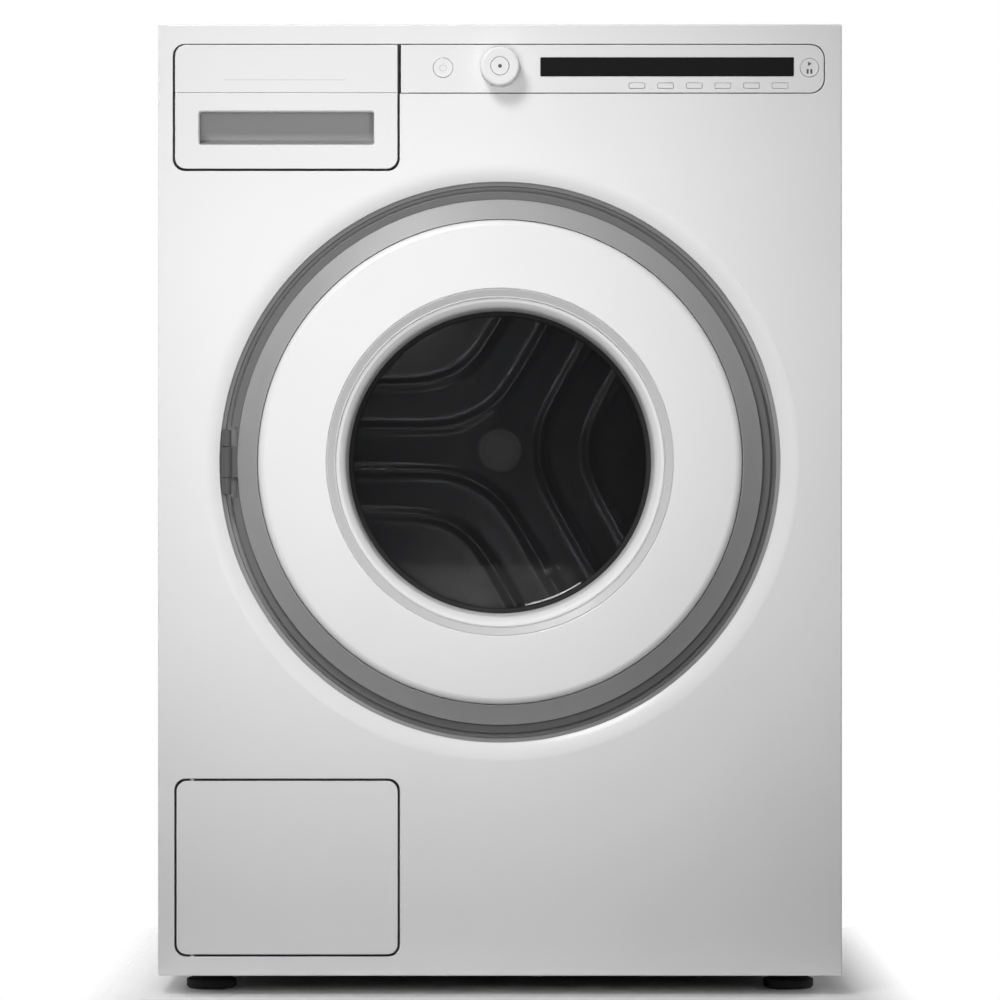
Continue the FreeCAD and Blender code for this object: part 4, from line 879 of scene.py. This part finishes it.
def drum_wall():
    """Perforated drum wall with its front ring and rolled mouth."""
    low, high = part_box("drum_shell")
    radius = (high.x - low.x) / 2 - 0.75 * MM
    columns, rows = 132, 26
    start, end = low.y + 14 * MM, high.y - 8 * MM
    pitch = (end - start) / rows
    verts, faces = [], []

    def on_wall(angle, along):
        return (DRUM.x + radius * math.cos(angle), along, DRUM.z + radius * math.sin(angle))

    turn = math.tau / columns
    hole = 0.2
    border = [(0, 0), (0.5, 0), (1, 0), (1, 0.5), (1, 1), (0.5, 1), (0, 1), (0, 0.5)]
    for row in range(rows):
        for column in range(columns):
            shift = 0.5 * (row % 2)
            base = len(verts)
            for u, v in border:
                verts.append(on_wall((column + shift + u) * turn, start + (row + v) * pitch))
            for k in range(8):
                angle = math.radians(225 + 45 * k)
                verts.append(on_wall((column + shift + 0.5 + hole * math.cos(angle)) * turn,
                                     start + (row + 0.5 + hole * math.sin(angle)) * pitch))
            for k in range(8):
                after = (k + 1) % 8
                faces.append((base + k, base + after, base + 8 + after, base + 8 + k))
    wall = piece("drum_wall", verts, faces, node="drum_shell", sharp=50)
    thick = wall.modifiers.new("thickness", "SOLIDIFY")
    thick.thickness = 1.0 * MM
    thick.offset = 0
    wall.modifiers.move(1, 0)
    outer = (high.x - low.x) / 2
    mouth = 166 * MM
    front_ring = softened([
        (outer, start + 0.2 * MM), (outer, low.y, 5 * MM), (mouth + 6 * MM, low.y, 3 * MM),
        (mouth, low.y + 2 * MM, 1.8 * MM), (mouth, low.y + 9 * MM, 0.8 * MM),
        (mouth + 1.5 * MM, low.y + 9 * MM),
        (mouth + 1.5 * MM, low.y + 3.5 * MM, 1 * MM), (mouth + 7 * MM, low.y + 1.5 * MM),
        (outer - 1.5 * MM, low.y + 1.5 * MM, 4 * MM), (outer - 1.5 * MM, start + 0.2 * MM)])
    lathe("drum_front_ring", front_ring, DRUM, 192, node="drum_shell")
    back_band = [(outer, end - 0.2 * MM), (outer, high.y), (outer - 1.5 * MM, high.y),
                 (outer - 1.5 * MM, end - 0.2 * MM)]
    lathe("drum_back_band", [Vector(p) for p in back_band], DRUM, 192, node="drum_shell")


drum_wall()


def lifters():
    """Three hollow-looking paddles with rounded crests that taper towards both ends."""
    low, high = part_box("drum_lifters")
    length = high.y - low.y
    inner = 246.6 * MM
    stations = 14
    across = 18
    for number in range(3):
        turn = math.radians(90 + 120 * number)
        verts, faces = [], []
        for station in range(stations + 1):
            part = station / stations
            along = low.y + length * part
            taper = min(1.0, 0.55 + 2.6 * min(part, 1 - part))
            for k in range(across + 1):
                sweep = -1 + 2 * k / across
                side = sweep * 32 * MM * (0.8 + 0.2 * taper)
                crest = (1 - abs(sweep) ** 2.6) * 40 * MM * taper
                wall = math.sqrt(inner ** 2 - side ** 2)
                height = wall - crest
                verts.append((DRUM.x + side * math.sin(turn) + height * math.cos(turn), along,
                              DRUM.z - side * math.cos(turn) + height * math.sin(turn)))
        row = across + 1
        for station in range(stations):
            for k in range(across):
                base = station * row + k
                faces.append((base, base + 1, base + row + 1, base + row))
        faces.append(tuple(range(row)))
        faces.append(tuple(range(stations * row, (stations + 1) * row)))
        for station in range(stations):
            base = station * row
            faces.append((base, base + row, base + row + across, base + across))
        piece("lifter_%d" % (number + 1), verts, faces, node="drum_lifters", sharp=70)


lifters()


# ---------------------------------------------------------------- springs

def springs():
    """Coil springs round the dampers; each stretches between the base and the tub."""
    low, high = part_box("suspension_springs")
    wire, coil, turns = 2.1 * MM, 23 * MM, 8
    steps, around = 22, 8
    for side in (-1, 1):
        for along in (low.y + 24 * MM, high.y - 24 * MM):
            middle = (side * (high.x - 24 * MM), along)
            verts, faces = [], []
            rise = high.z - low.z - 2 * wire
            count = turns * steps
            for k in range(count + 1):
                angle = math.tau * k / steps
                z = low.z + wire + rise * k / count
                for m in range(around):
                    bend = math.tau * m / around
                    size = coil - 0.1 * MM + wire * 0.45 * math.cos(bend)
                    verts.append((middle[0] + size * math.cos(angle), middle[1] + size * math.sin(angle),
                                  z + wire * math.sin(bend)))
            for k in range(count):
                for m in range(around):
                    after = (m + 1) % around
                    here, next_ring = k * around, (k + 1) * around
                    faces.append((here + m, here + after, next_ring + after, next_ring + m))
            faces.append(tuple(range(around)))
            faces.append(tuple(range(count * around, (count + 1) * around)))
            name = "spring_%s_%s" % ("left" if side < 0 else "right", "front" if along < 0 else "rear")
            thing = piece(name, verts, faces, node="suspension_springs", sharp=80, loose=True)
            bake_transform(thing)


springs()


# ---------------------------------------------------------------- floor

def floor():
    """Pale floor in front and close round the machine; it fades into the studio's white."""
    verts = [(-1, -1, 0), (1, -1, 0), (1, 1, 0), (-1, 1, 0)]
    mesh = bpy.data.meshes.new("floor")
    mesh.from_pydata(verts, [], [(0, 1, 2, 3)])
    thing = bpy.data.objects.new("floor", mesh)
    bpy.context.collection.objects.link(thing)
    paint = Nodes("floor_white")
    cloud = paint.noise(3, 3)
    paint.blend_colours(cloud, (0.84, 0.84, 0.84), (0.88, 0.88, 0.88))
    paint.shader.inputs["Roughness"].default_value = 0.6
    split = paint.new("ShaderNodeSeparateXYZ")
    paint.link(paint.coords.outputs["Object"], split.inputs[0])

    def step(operation, source, value=None):
        node = paint.new("ShaderNodeMath", operation=operation)
        paint.link(source, node.inputs[0])
        if value is not None:
            node.inputs[1].default_value = value
        return node.outputs[0]

    aside = step("MAXIMUM", step("SUBTRACT", step("ABSOLUTE", split.outputs["X"]), 0.30), 0.0)
    along = step("MAXIMUM", step("SUBTRACT", step("ABSOLUTE", split.outputs["Y"]), 0.30), 0.0)
    far = paint.new("ShaderNodeMath", operation="MAXIMUM")
    paint.link(aside, far.inputs[0])
    paint.link(along, far.inputs[1])
    paint.link(paint.spread(far.outputs[0], 1.0, 0.0, 0.005, 0.06), paint.shader.inputs["Alpha"])
    mesh.materials.append(paint.material)


floor()
